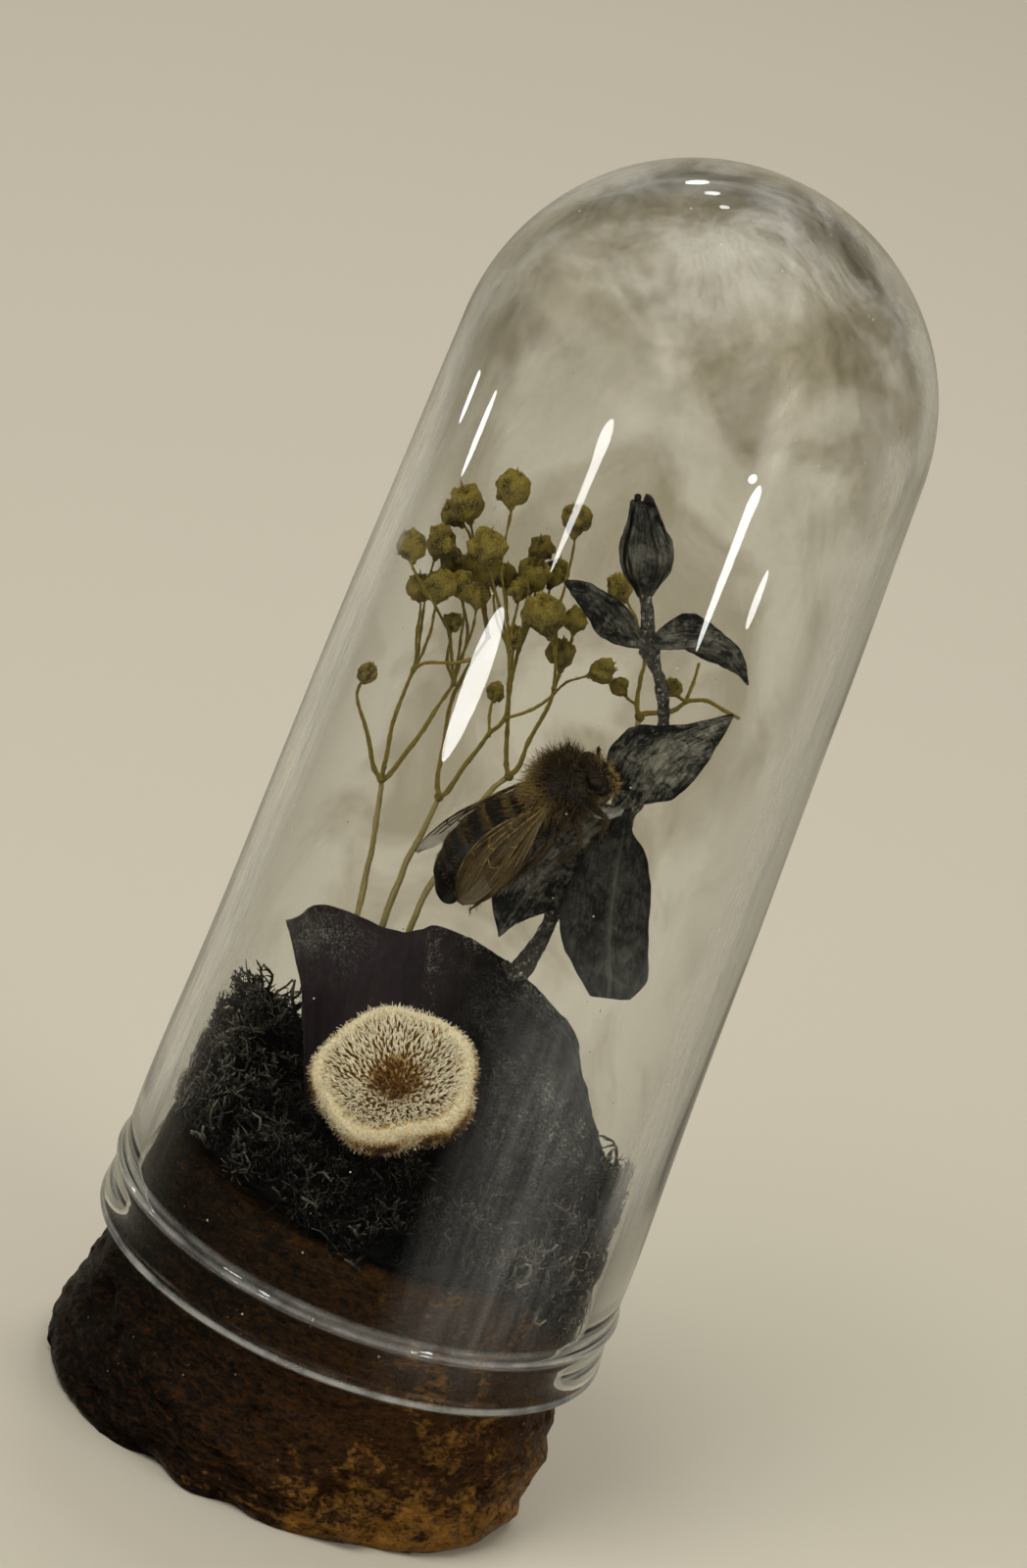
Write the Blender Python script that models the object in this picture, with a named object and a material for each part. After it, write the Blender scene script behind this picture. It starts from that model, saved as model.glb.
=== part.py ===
# Insect in a glass dome: a dried honey bee and dried plants on a cork plug, under a glass dome.
# Metres, +Z up. The origin is the middle of the cork's flat bottom, and the bee shows from -Y.
# Sizes and places below are in millimetres and are brought to metres when a mesh is written.

import math

import bmesh
import bpy
import numpy as np
from mathutils import Matrix, Vector

MM = 0.001
GAP = 0.25                      # left between pieces that touch
WELD = 1.0e-7                   # metres, merges only points that coincide

# the dome and the plug
TURN_STEPS = 36                 # facets round the dome and the cork
LIP_HEIGHT = 10.85              # underside of the glass lip
LIP_RADIUS = 16.75
BEAD_HEIGHT = 14.6              # middle of the bead above the lip
BEAD_RADIUS = 16.7
MOUTH_RADIUS = 15.0             # inside of the glass where the cork sits
WALL = 1.2
CROWN_HEIGHT = 74.3             # where the wall turns into the round top
CROWN_RADIUS = 15.2
GLASS_STATIONS = [(15.5, 16.45), (20.0, 16.45), (32.0, 16.1), (54.0, 15.7)]
PLUG_TOP = 18.5
CORK_PROFILE = [                # height, radius
    (0.0, 15.1), (0.8, 15.7), (2.4, 15.9), (4.6, 15.75), (6.8, 15.4), (8.8, 14.95),
    (10.6, 14.65), (13.0, 14.55), (15.4, 14.5), (17.7, 14.4), (PLUG_TOP, 13.9),
]
CORK_LEAN = (-0.6, -0.3)        # how far the foot stands off the dome's axis
CORK_DENTS = [                  # angle round the cork, height, reach and depth of pits and chips
    {"angle": 207.0, "height": 6.5, "reach": 1.6, "depth": 0.9},
    {"angle": 287.0, "height": 3.2, "reach": 1.5, "depth": 1.0},
    {"angle": 301.0, "height": 1.4, "reach": 1.7, "depth": 0.8},
    {"angle": 243.0, "height": 0.4, "reach": 2.2, "depth": 1.1},
    {"angle": 264.0, "height": 0.3, "reach": 1.4, "depth": 0.9},
    {"angle": 196.0, "height": 16.6, "reach": 2.0, "depth": 0.8},
    {"angle": 318.0, "height": 17.2, "reach": 3.6, "depth": 1.0},
    {"angle": 336.0, "height": 17.2, "reach": 3.6, "depth": 1.0},
    {"angle": 354.0, "height": 17.2, "reach": 3.6, "depth": 1.0},
    {"angle": 12.0, "height": 17.2, "reach": 3.6, "depth": 1.0},
    {"angle": 18.0, "height": 2.0, "reach": 2.4, "depth": 0.9},
    {"angle": 105.0, "height": 4.2, "reach": 2.0, "depth": 0.8},
    {"angle": 148.0, "height": 0.6, "reach": 2.3, "depth": 1.0},
]
CORK_LUMPS = [(3, 0.9, 0.14), (7, 1.7, 0.12), (13, 2.9, 0.08)]      # waves round, waves up, height

# the moss
MOSS_STEPS = 26
MOSS_FLOOR = PLUG_TOP + GAP
MOSS_EDGE = 13.45               # where the moss leaves the plug's top
MOSS_RIM = 14.1                 # its widest, outside the plug's edge
MOSS_RINGS = [13.0, 11.4, 9.2, 6.2, 3.1, 0.0]
MOSS_TOP = 20.2                 # level of the moss between its clumps
MOSS_CLUMPS = [                 # x, y, rise above MOSS_TOP, reach
    (-11.6, 1.8, 6.2, 2.5), (-12.6, -2.6, 2.2, 2.4), (13.9, 0.2, 5.0, 1.9), (10.5, -6.5, 2.0, 2.8),
    (-1.8, -4.4, 2.9, 2.4), (5.0, 9.5, 2.2, 3.6), (-6.5, 9.8, 2.6, 3.0), (-3.0, -9.0, 0.8, 2.6),
]
MOSS_BARE = {"angle": -128.0, "reach": 34.0, "depth": 1.7}      # side where the plug's top shows
MOSS_DROOP = {"angle": -18.0, "reach": 20.0, "depth": 3.5}      # side where it hangs past the plug
MOSS_OUTER = 14.7

# the dark petal, as rows of points from its foot to its edge, each from left to right
PETAL_THICKNESS = 0.35
PETAL_ROWS = [
    [(-6.6, 0.4, 20.7), (-4.8, 1.0, 20.6), (-2.0, 0.8, 20.6), (1.2, -0.6, 20.6),
     (5.0, -1.8, 20.7), (8.6, -1.8, 21.3), (11.2, -0.6, 22.4)],
    [(-8.0, 0.3, 24.6), (-5.8, 1.5, 24.6), (-2.6, 1.2, 24.6), (0.8, -0.8, 24.8),
     (5.0, -2.6, 25.0), (9.2, -2.4, 24.4), (12.0, -0.6, 23.2)],
    [(-9.3, 0.4, 28.0), (-7.4, 2.2, 28.2), (-4.0, 2.4, 28.4), (-0.6, 0.6, 28.8),
     (4.0, -2.4, 29.4), (8.8, -2.4, 27.8), (12.0, -0.4, 24.8)],
    [(-11.0, 0.6, 30.6), (-8.8, 2.9, 31.2), (-4.8, 3.4, 31.2), (-1.6, 1.7, 32.4),
     (3.2, -1.2, 32.8), (7.9, -1.6, 30.7), (11.6, 0.0, 25.9)],
    [(-12.2, 0.2, 31.8), (-10.1, 3.0, 32.8), (-5.3, 4.2, 32.5), (-2.1, 3.2, 34.3),
     (2.8, 1.3, 34.2), (7.3, 0.6, 31.6), (11.1, 0.9, 26.0)],
]

# the flower head
FLOWER_STEPS = 24
FLOWER_CENTRE = (-2.45, -6.5, 27.8)
FLOWER_FACING = (-0.22, -0.52, 0.82)
FLOWER_PROFILE = [              # radius, height along its axis
    (0.0, -4.1), (2.2, -3.9), (3.9, -3.3), (5.0, -2.1), (5.35, -0.9), (4.95, 0.0),
    (4.0, 0.3), (2.4, -0.1), (1.0, -0.7), (0.0, -0.9),
]
FLOWER_FLAT_ANGLE = 38.0        # one side of the head is pressed flat
FLOWER_FLAT_DEPTH = 0.45
FLOWER_FLAT_REACH = 24.0
FLOWER_WAVE = 0.016             # it is slightly five-sided

# the grey leafy sprig
STEM_PATH = [
    (3.1, 1.0, 34.65), (3.4, 1.2, 37.2), (3.6, 1.2, 39.8), (4.7, 1.3, 43.4), (5.5, 1.3, 46.7),
    (5.9, 1.3, 50.2), (5.5, 1.2, 53.8), (4.2, 0.9, 56.4), (2.9, 0.6, 58.4), (1.8, 0.5, 61.0),
]
STEM_WIDTHS = [1.25, 0.95, 0.95, 0.9, 1.05, 0.8, 0.8, 0.75, 0.95, 0.7]
LEAF_THICKNESS = 0.26
LEAVES = {
    "leaf_top_left": {
        "base": (2.2, 0.1, 58.5), "tip": (-3.3, -0.7, 60.7), "side": (0.25, -0.2, 1.0),
        "width": 2.7, "arch": 0.6, "cup": 0.35, "widest": 0.5, "blunt": 0.05,
    },
    "leaf_top_right": {
        "base": (3.6, 0.3, 58.6), "tip": (9.6, 0.6, 58.2), "side": (-0.1, -0.25, 1.0),
        "width": 2.8, "arch": 1.35, "cup": -0.35, "widest": 0.45, "blunt": 0.05,
    },
    "leaf_middle": {
        "base": (5.2, 0.1, 47.9), "tip": (9.4, -1.3, 56.7), "side": (-0.9, -0.1, 0.42),
        "width": 5.3, "arch": 1.15, "cup": 0.5, "widest": 0.36, "blunt": 0.04,
    },
    "leaf_drooping_left": {
        "base": (4.7, 0.3, 46.2), "tip": (0.9, -0.4, 36.7), "side": (0.93, 0.0, -0.36),
        "width": 4.9, "arch": -0.7, "cup": -0.4, "widest": 0.52, "blunt": 0.03,
    },
    "leaf_drooping_right": {
        "base": (5.8, 0.1, 46.2), "tip": (8.7, -1.1, 35.8), "side": (0.96, 0.1, 0.26),
        "width": 5.9, "arch": -0.35, "cup": -0.5, "widest": 0.62, "blunt": 0.40,
    },
}
BUD_FOOT = (1.65, 0.5, 61.5)
BUD_TIP = (-0.75, 0.5, 67.1)
BUD_WIDTH = 3.2
BUD_NARROWING = 0.38            # how much slimmer its tip is
BUD_RIDGE = 0.07
GLUE_CENTRE = (4.4, -1.95, 47.8)
GLUE_SIZE = (1.9, 0.9, 0.9)

# the bee: along its own axes, x to the head, y to its left side, z to its back
BEE_PLACE = (1.2, -3.3, 48.3)
BEE_FORWARD = (0.599, 0.055, 0.799)
BEE_BACK = (-0.700, -0.448, 0.556)
BEE_THORAX = {"centre": (0.0, 0.0, 0.1), "size": (4.3, 3.7, 3.7)}
BEE_HEAD = {"centre": (2.75, 0.0, -0.1), "size": (2.0, 3.3, 3.0)}
BEE_SPINE = [                   # middle of the abdomen, from the waist to the tail
    (-1.3, 0.0, 0.1), (-3.4, 0.05, 0.25), (-5.9, -0.05, -0.1), (-8.2, -0.3, -0.85), (-10.0, -0.7, -2.2),
]
BEE_RINGS = 6                   # bands of the abdomen
BEE_GIRTH = 2.05                # largest half width of the abdomen
BEE_TAPER = 0.16                # how much slimmer it is at the tail
BEE_GROOVE = 0.05               # depth of the grooves between bands, as a share of the girth
BEE_TAIL_TURN = [0.0, 8.0, 38.0]    # how far its sections tip, at the waist, middle and tail
BEE_LEG_WIDTHS = [0.42, 0.42, 0.3]
BEE_FEELER_WIDTHS = [0.26, 0.22]
BEE_LEGS = [                    # hip, knee, shin and claw of each leg on the bee's right, then left
    [(0.9, -0.6, -0.9), (1.7, -1.7, -2.1), (0.8, -1.9, -2.9), (0.9, -1.3, -3.4)],
    [(0.1, -0.7, -0.9), (-0.3, -2.0, -2.2), (-1.4, -2.1, -2.9), (-2.4, -1.8, -3.0)],
    [
        (-0.8, -0.6, -0.9), (-2.6, -1.8, -1.8), (-5.2, -2.0, -2.2), (-7.4, -2.1, -2.4),
        (-8.7, -2.1, -2.6),
    ],
    [(0.9, 0.5, -0.9), (1.9, 0.7, -2.0), (1.7, 0.3, -2.6)],
    [(0.1, 0.5, -0.9), (-0.6, 0.6, -2.2), (-1.7, 0.2, -2.7)],
    [(-0.8, 0.5, -0.9), (-2.4, 0.7, -2.1), (-4.4, 0.3, -2.5)],
]
BEE_FEELERS = [
    [(3.2, -0.35, 0.7), (3.7, -0.5, 1.35), (4.3, 0.0, 1.2)],
    [(3.2, 0.35, 0.7), (3.6, 0.75, 1.4), (3.9, 1.3, 1.5)],
]
WING_THICKNESS = 0.14
BEE_WINGS = [                   # root, tip, direction across, width
    {
        "root": (0.3, -0.9, 0.9), "tip": (-8.5, -3.0, -0.9),
        "across": (-0.15, 0.35, 0.92), "width": 3.1,
    },
    {
        "root": (-0.5, -1.0, 0.7), "tip": (-6.6, -2.5, -1.6),
        "across": (-0.25, 0.35, 0.9), "width": 2.0,
    },
    {
        "root": (0.1, 0.9, 0.9), "tip": (-10.2, 2.7, -0.3),
        "across": (0.1, -0.5, 0.85), "width": 2.6,
    },
    {
        "root": (-0.6, 1.0, 0.7), "tip": (-7.4, 2.3, -0.9),
        "across": (0.1, -0.4, 0.9), "width": 1.8,
    },
]

# the sprigs of small round buds
TWIG_WIDTH = 0.36
TWIG_ROOT = 0.10                # how deep a twig starts in the one that carries it
BRANCH_WIDTH = 0.46
STEM_FOOT_WIDTH = 0.62
SPRIG_STEMS = {
    "sprig_left_stem": [
        (-6.6, 4.8, 20.9), (-7.4, 4.4, 28.0), (-8.1, 4.15, 34.0), (-9.0, 3.4, 39.2),
        (-9.6, 3.0, 42.3),
    ],
    "sprig_middle_stem": [
        (-4.9, 5.4, 20.9), (-5.9, 5.2, 28.0), (-6.3, 4.9, 34.5), (-5.9, 4.2, 39.6),
        (-5.8, 4.0, 42.2),
    ],
    "sprig_right_stem": [
        (-3.6, 5.6, 20.9), (-4.5, 5.3, 29.0), (-4.3, 4.6, 36.0), (-3.1, 3.7, 43.0),
        (-2.2, 3.5, 45.4),
    ],
    "sprig_back_stem": [
        (2.2, 5.2, 20.9), (3.0, 4.6, 30.0), (3.6, 4.4, 37.5), (4.9, 4.9, 45.5), (4.1, 5.0, 51.7),
    ],
}
SPRIG_BRANCHES = {              # each arm starts on the one before it that it touches; a bud of 0 is none
    "sprig_left_outer": [
        {"bud": 1.25, "path": [(-10.3, 2.95, 42.75), (-11.2, 2.6, 44.6), (-12.8, 2.1, 46.8),
            (-13.0, 1.8, 48.0), (-12.8, 1.5, 49.2)]},
    ],
    "sprig_left_middle": [
        {"bud": 0, "path": [(-9.8, 2.8, 43.3), (-10.1, 2.8, 45.2), (-10.3, 2.7, 47.4),
            (-10.2, 2.5, 50.1)]},
        {"bud": 1.6, "path": [(-10.2, 2.5, 50.1), (-10.8, 1.8, 53.0), (-11.7, 0.9, 56.1)]},
        {"bud": 2.0, "path": [(-10.2, 2.5, 50.1), (-10.0, 1.7, 53.0), (-10.5, 0.5, 56.9)]},
        {"bud": 1.8, "path": [(-10.2, 2.5, 50.1), (-10.6, 2.6, 52.8), (-11.4, 2.4, 56.1),
            (-11.6, 2.2, 58.9)]},
        {"bud": 0, "path": [(-10.2, 2.5, 50.1), (-9.6, 2.0, 51.0), (-8.3, 1.6, 51.8), (-7.1, 1.6, 52.5)]},
    ],
    "sprig_left_inner": [
        {"bud": 0, "path": [(-9.2, 3.15, 42.8), (-8.6, 3.4, 45.0), (-8.1, 3.7, 47.3), (-7.6, 4.0, 49.6)]},
        {"bud": 1.7, "path": [(-7.6, 4.0, 49.6), (-8.9, 2.2, 53.3), (-10.0, -0.4, 55.5),
            (-12.3, -1.4, 58.0), (-13.1, -0.6, 59.1)]},
        {"bud": 1.4, "path": [(-7.6, 4.0, 49.6), (-7.7, 3.5, 52.0), (-7.7, 2.8, 54.4),
            (-8.2, 2.7, 56.3)]},
        {"bud": 1.6, "path": [(-7.6, 4.0, 49.6), (-8.1, 3.2, 52.9), (-9.3, 2.2, 56.8)]},
        {"bud": 1.1, "path": [(-7.6, 4.0, 49.6), (-8.5, 3.2, 51.2), (-9.0, 2.2, 54.2)]},
        {"bud": 1.5, "path": [(-7.6, 4.0, 49.6), (-8.1, 4.4, 53.1), (-10.5, 3.8, 57.5)]},
    ],
    "sprig_middle_left": [
        {"bud": 0, "path": [(-6.2, 4.15, 42.9), (-6.6, 4.4, 44.9), (-7.2, 4.7, 47.4),
            (-7.2, 4.9, 50.3), (-6.6, 4.9, 53.0)]},
        {"bud": 1.8, "path": [(-6.6, 4.9, 53.0), (-7.8, 5.0, 55.1), (-9.0, 5.4, 57.1)]},
        {"bud": 2.1, "path": [(-6.6, 4.9, 53.0), (-8.0, 4.2, 56.1), (-9.7, 3.5, 59.5),
            (-11.0, 3.2, 61.6)]},
        {"bud": 1.6, "path": [(-6.6, 4.9, 53.0), (-8.6, 4.9, 56.3), (-10.0, 4.7, 58.9),
            (-11.5, 4.6, 60.1)]},
    ],
    "sprig_middle_right": [
        {"bud": 0, "path": [(-5.4, 3.85, 42.9), (-4.9, 3.6, 45.3), (-4.3, 3.2, 47.6),
            (-3.7, 3.0, 49.1), (-4.3, 2.8, 51.5), (-5.0, 2.6, 53.6)]},
        {"bud": 2.0, "path": [(-5.0, 2.6, 53.6), (-6.0, 2.1, 56.0), (-7.4, 1.7, 59.1),
            (-8.0, 1.4, 62.5), (-8.5, 1.3, 64.4)]},
        {"bud": 2.1, "path": [(-5.0, 2.6, 53.6), (-6.6, 1.9, 56.6), (-7.9, 1.4, 58.7),
            (-8.6, 1.1, 60.2)]},
        {"bud": 1.4, "path": [(-5.0, 2.6, 53.6), (-5.8, 3.8, 55.0), (-7.0, 4.6, 57.5)]},
        {"bud": 1.3, "path": [(-5.0, 2.6, 53.6), (-5.5, 2.2, 55.9), (-5.8, 1.9, 58.0)]},
        {"bud": 1.5, "path": [(-5.0, 2.6, 53.6), (-6.7, 2.8, 55.6), (-7.8, 2.9, 58.0)]},
        {"bud": 1.2, "path": [(-4.3, 2.8, 51.5), (-4.6, 3.0, 53.0), (-5.0, 3.0, 54.5)]},
        {"bud": 1.5, "path": [(-3.7, 3.0, 49.1), (-2.5, 3.6, 50.0), (-1.6, 4.1, 51.2),
            (-0.9, 4.3, 52.4), (0.1, 4.4, 53.2), (0.9, 4.5, 53.9)]},
        {"bud": 1.1, "path": [(-4.3, 3.2, 47.6), (-4.7, 4.6, 48.7), (-4.9, 5.6, 49.5)]},
    ],
    "sprig_right_left": [
        {"bud": 0, "path": [(-2.6, 3.75, 46.0), (-3.3, 3.8, 47.9), (-4.1, 4.2, 50.7), (-4.5, 4.4, 53.2)]},
        {"bud": 2.0, "path": [(-4.5, 4.4, 53.2), (-5.0, 4.2, 55.9), (-5.4, 3.9, 58.5)]},
        {"bud": 1.5, "path": [(-4.5, 4.4, 53.2), (-4.8, 4.6, 56.6), (-5.5, 4.6, 60.0)]},
        {"bud": 1.6, "path": [(-4.5, 4.4, 53.2), (-4.2, 5.0, 56.1), (-4.1, 5.2, 58.6)]},
    ],
    "sprig_right_inner": [
        {"bud": 0, "path": [(-1.9, 3.3, 46.2), (-1.8, 3.2, 48.2), (-1.5, 3.0, 50.8), (-1.6, 2.8, 52.3)]},
        {"bud": 2.4, "path": [(-1.6, 2.8, 52.3), (-2.3, 2.2, 54.7), (-3.7, 1.6, 57.1)]},
        {"bud": 1.7, "path": [(-1.6, 2.8, 52.3), (-1.6, 3.2, 53.4), (-2.0, 3.5, 54.4)]},
        {"bud": 1.4, "path": [(-1.6, 2.8, 52.3), (-1.6, 4.2, 54.9), (-1.9, 4.9, 56.3)]},
        {"bud": 1.8, "path": [(-2.3, 2.2, 54.7), (-3.1, 2.3, 57.9), (-3.6, 2.1, 61.6),
            (-4.1, 2.0, 63.7)]},
    ],
    "sprig_back_left": [
        {"bud": 1.5, "path": [(3.65, 5.2, 52.3), (3.3, 5.8, 53.9), (3.1, 6.2, 55.0),
            (1.7, 6.8, 57.0), (-0.1, 7.0, 58.5)]},
        {"bud": 1.1, "path": [(3.65, 5.2, 52.3), (3.1, 5.1, 52.5), (2.2, 5.0, 53.1)]},
    ],
    "sprig_back_right": [
        {"bud": 0, "path": [(4.4, 5.1, 52.0), (5.8, 5.4, 52.6), (6.5, 5.8, 53.5),
            (7.6, 6.0, 53.9), (9.0, 6.1, 53.7), (10.1, 6.1, 53.6)]},
        {"bud": 0, "path": [(6.5, 5.8, 53.5), (6.6, 6.4, 54.6), (6.4, 6.9, 55.7)]},
        {"bud": 1.1, "path": [(6.5, 5.8, 53.5), (5.9, 6.2, 53.5), (5.4, 6.4, 53.8)]},
    ],
}

FINISHES = {                    # base colour, roughness, transmission
    "dark_cork": ((0.052, 0.026, 0.012), 0.42, 0.0),
    "clear_glass": ((0.95, 0.96, 0.95), 0.03, 1.0),
    "black_moss": ((0.018, 0.020, 0.024), 0.92, 0.0),
    "violet_petal": ((0.030, 0.022, 0.034), 0.62, 0.0),
    "cream_felt": ((0.50, 0.41, 0.25), 0.95, 0.0),
    "bee_body": ((0.070, 0.042, 0.018), 0.72, 0.0),
    "clear_glue": ((0.92, 0.92, 0.90), 0.06, 0.8),
    "grey_leaf": ((0.045, 0.050, 0.053), 0.70, 0.0),
    "grey_stem": ((0.095, 0.098, 0.098), 0.75, 0.0),
    "olive_bud": ((0.150, 0.125, 0.030), 0.80, 0.0),
    "straw_stem": ((0.210, 0.180, 0.075), 0.75, 0.0),
}


def clear_scene():
    for item in list(bpy.data.objects):
        bpy.data.objects.remove(item, do_unlink=True)


def make_finish(name):
    colour, roughness, transmission = FINISHES[name]
    finish = bpy.data.materials.new(name)
    finish.use_nodes = True
    shader = finish.node_tree.nodes["Principled BSDF"]
    shader.inputs["Base Color"].default_value = (*colour, 1.0)
    shader.inputs["Roughness"].default_value = roughness
    shader.inputs["Metallic"].default_value = 0.0
    shader.inputs["Transmission Weight"].default_value = transmission
    return finish


def finish_named(name):
    return bpy.data.materials.get(name) or make_finish(name)


def link_object(name, mesh):
    item = bpy.data.objects.new(name, mesh)
    bpy.context.scene.collection.objects.link(item)
    return item


def object_from_bmesh(name, bm):
    bmesh.ops.recalc_face_normals(bm, faces=bm.faces)
    mesh = bpy.data.meshes.new(name)
    bm.to_mesh(mesh)
    bm.free()
    return link_object(name, mesh)


def dress(item, finish, parent, sharp_angle=40.0):
    item.data.materials.clear()
    item.data.materials.append(finish_named(finish))
    item.data.shade_smooth()
    item.data.set_sharp_from_angle(angle=math.radians(sharp_angle))
    item.parent = parent


def apply_modifiers(item):
    depsgraph = bpy.context.evaluated_depsgraph_get()
    mesh = bpy.data.meshes.new_from_object(item.evaluated_get(depsgraph))
    item.modifiers.clear()
    item.data = mesh


def fuse(name, pieces):
    """One closed body from pieces that overlap."""
    body = pieces[0]
    body.name = name
    for piece in pieces[1:]:
        union = body.modifiers.new("union", "BOOLEAN")
        union.operation = "UNION"
        union.solver = "EXACT"
        union.object = piece
    apply_modifiers(body)
    for piece in pieces[1:]:
        bpy.data.objects.remove(piece, do_unlink=True)
    return body


def turned(name, profile, steps):
    """A profile of radius and height, from axis to axis, spun round Z."""
    bm = bmesh.new()
    points = [bm.verts.new((radius * MM, 0.0, height * MM)) for radius, height in profile]
    edges = [bm.edges.new(pair) for pair in zip(points, points[1:])]
    bmesh.ops.spin(
        bm, geom=points + edges, cent=(0.0, 0.0, 0.0), axis=(0.0, 0.0, 1.0),
        angle=math.tau, steps=steps, use_merge=False,
    )
    bmesh.ops.remove_doubles(bm, verts=bm.verts, dist=WELD)
    return object_from_bmesh(name, bm)


def reshape(item, rule):
    """Moves every point of a mesh to rule(points), both in millimetres."""
    count = len(item.data.vertices)
    flat = np.empty(count * 3, dtype=np.float32)
    item.data.vertices.foreach_get("co", flat)
    moved = rule(flat.reshape(count, 3).astype(float) / MM) * MM
    item.data.vertices.foreach_set("co", moved.astype(np.float32).ravel())
    item.data.update()


def smooth_path(points, per_span):
    """Points on a curve that passes through the given points (Catmull-Rom)."""
    knots = np.array(points, dtype=float)
    padded = np.vstack([2 * knots[0] - knots[1], knots, 2 * knots[-1] - knots[-2]])
    spots = []
    for index in range(len(knots) - 1):
        before, start, end, after = padded[index:index + 4]
        for step in range(per_span):
            t = step / per_span
            spots.append(0.5 * (
                2 * start + (end - before) * t
                + (2 * before - 5 * start + 4 * end - after) * t ** 2
                + (3 * start - before - 3 * end + after) * t ** 3
            ))
    spots.append(knots[-1])
    return np.array(spots)


def tube(name, path, widths, resolution=1):
    """A round rod along a path, as wide as the widths say, with closed ends."""
    curve = bpy.data.curves.new(name, "CURVE")
    curve.dimensions = "3D"
    curve.bevel_depth = MM
    curve.bevel_resolution = resolution
    curve.use_fill_caps = True
    spline = curve.splines.new("POLY")
    spline.points.add(len(path) - 1)
    thick = np.interp(np.linspace(0, 1, len(path)), np.linspace(0, 1, len(widths)), widths)
    for spot, place, width in zip(spline.points, path, thick):
        spot.co = (*(np.array(place) * MM), 1.0)
        spot.radius = width / 2
    rod = link_object(name, curve)
    mesh = bpy.data.meshes.new_from_object(rod.evaluated_get(bpy.context.evaluated_depsgraph_get()))
    bpy.data.objects.remove(rod, do_unlink=True)
    bpy.data.curves.remove(curve)
    bm = bmesh.new()
    bm.from_mesh(mesh)
    bpy.data.meshes.remove(mesh)
    bmesh.ops.remove_doubles(bm, verts=bm.verts, dist=WELD)
    return object_from_bmesh(name, bm)


def ball(name, centre, size, segments, rings, turn=None):
    """An egg shape of the given three widths."""
    placed = Matrix.Translation(Vector(centre) * MM)
    if turn is not None:
        placed = placed @ turn.to_4x4()
    placed = placed @ Matrix.Diagonal((*(Vector(size) * MM / 2), 1.0))
    bm = bmesh.new()
    bmesh.ops.create_uvsphere(bm, u_segments=segments, v_segments=rings, radius=1.0, matrix=placed)
    return object_from_bmesh(name, bm)


def turn_to(direction, hint=(0.0, 0.0, 1.0)):
    """A rotation whose X is the direction and whose Z leans to the hint."""
    forward = Vector(direction).normalized()
    left = Vector(hint).cross(forward).normalized()
    up = forward.cross(left)
    return Matrix((forward, left, up)).transposed()


def dent_depth(places, dents):
    """How far each place on the cork is sunk by the pits and chips."""
    sunk = np.zeros(len(places))
    for dent in dents:
        angle = math.radians(dent["angle"])
        radius = np.interp(dent["height"], *zip(*CORK_PROFILE))
        middle = np.array([radius * math.cos(angle), radius * math.sin(angle), dent["height"]])
        far = np.linalg.norm(places - middle, axis=1) / dent["reach"]
        sunk = np.maximum(sunk, dent["depth"] * np.exp(-far ** 2))
    return sunk


def roughen_cork(places):
    """Cork grain: waves round and up the side, and pits, with a flat foot and a smooth neck."""
    angle = np.arctan2(places[:, 1], places[:, 0])
    radius = np.hypot(places[:, 0], places[:, 1])
    height = places[:, 2]
    grain = sum(
        rise * np.sin(around * angle + up * height + around) for around, up, rise in CORK_LUMPS
    )
    in_the_glass = np.clip((LIP_HEIGHT - 0.5 - height) / 3.0, 0.15, 1.0)
    change = grain * in_the_glass - dent_depth(places, CORK_DENTS)
    side = radius > CORK_PROFILE[-1][1] - 1.0
    share = np.where(side, (radius + change) / np.maximum(radius, WELD), 1.0)
    lean = np.clip(1.0 - height / LIP_HEIGHT, 0.0, 1.0)
    x = places[:, 0] * share + CORK_LEAN[0] * lean
    y = places[:, 1] * share + CORK_LEAN[1] * lean
    return np.column_stack([x, y, height])


def build_cork(parent):
    profile = [(0.0, 0.0)] + [(radius, height) for height, radius in CORK_PROFILE] + [(0.0, PLUG_TOP)]
    cork = turned("cork_base", profile, TURN_STEPS)
    reshape(cork, roughen_cork)
    dress(cork, "dark_cork", parent)


def glass_profile():
    """The glass wall's outline: up the inside from lip to crown turned round, then the outside."""
    inner_crown = CROWN_RADIUS - WALL
    rise = np.radians(np.linspace(90, 0, 6))
    inside = [(inner_crown * math.cos(a), CROWN_HEIGHT + inner_crown * math.sin(a)) for a in rise]
    upper_height, upper_radius = GLASS_STATIONS[-1]
    inside.append((upper_radius - WALL, upper_height))
    inside += [(MOUTH_RADIUS, 20.0), (MOUTH_RADIUS, LIP_HEIGHT + 0.6)]
    lip = [
        (MOUTH_RADIUS + 0.5, LIP_HEIGHT), (LIP_RADIUS - 0.5, LIP_HEIGHT),
        (LIP_RADIUS, LIP_HEIGHT + 0.5), (LIP_RADIUS - 0.15, LIP_HEIGHT + 1.0),
        (LIP_RADIUS - 0.5, LIP_HEIGHT + 1.5),
    ]
    bead = [
        (BEAD_RADIUS - 0.4, BEAD_HEIGHT - 0.7), (BEAD_RADIUS, BEAD_HEIGHT),
    ]
    wall = [(radius, height) for height, radius in GLASS_STATIONS]
    fall = np.radians(np.linspace(0, 90, 7))
    crown = [(CROWN_RADIUS * math.cos(a), CROWN_HEIGHT + CROWN_RADIUS * math.sin(a)) for a in fall]
    return inside + lip + bead + wall + crown


def build_glass(parent):
    profile = [(0.0 if radius < 0.001 else radius, height) for radius, height in glass_profile()]
    glass = turned("glass_dome", profile, TURN_STEPS)
    dress(glass, "clear_glass", parent)


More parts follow.
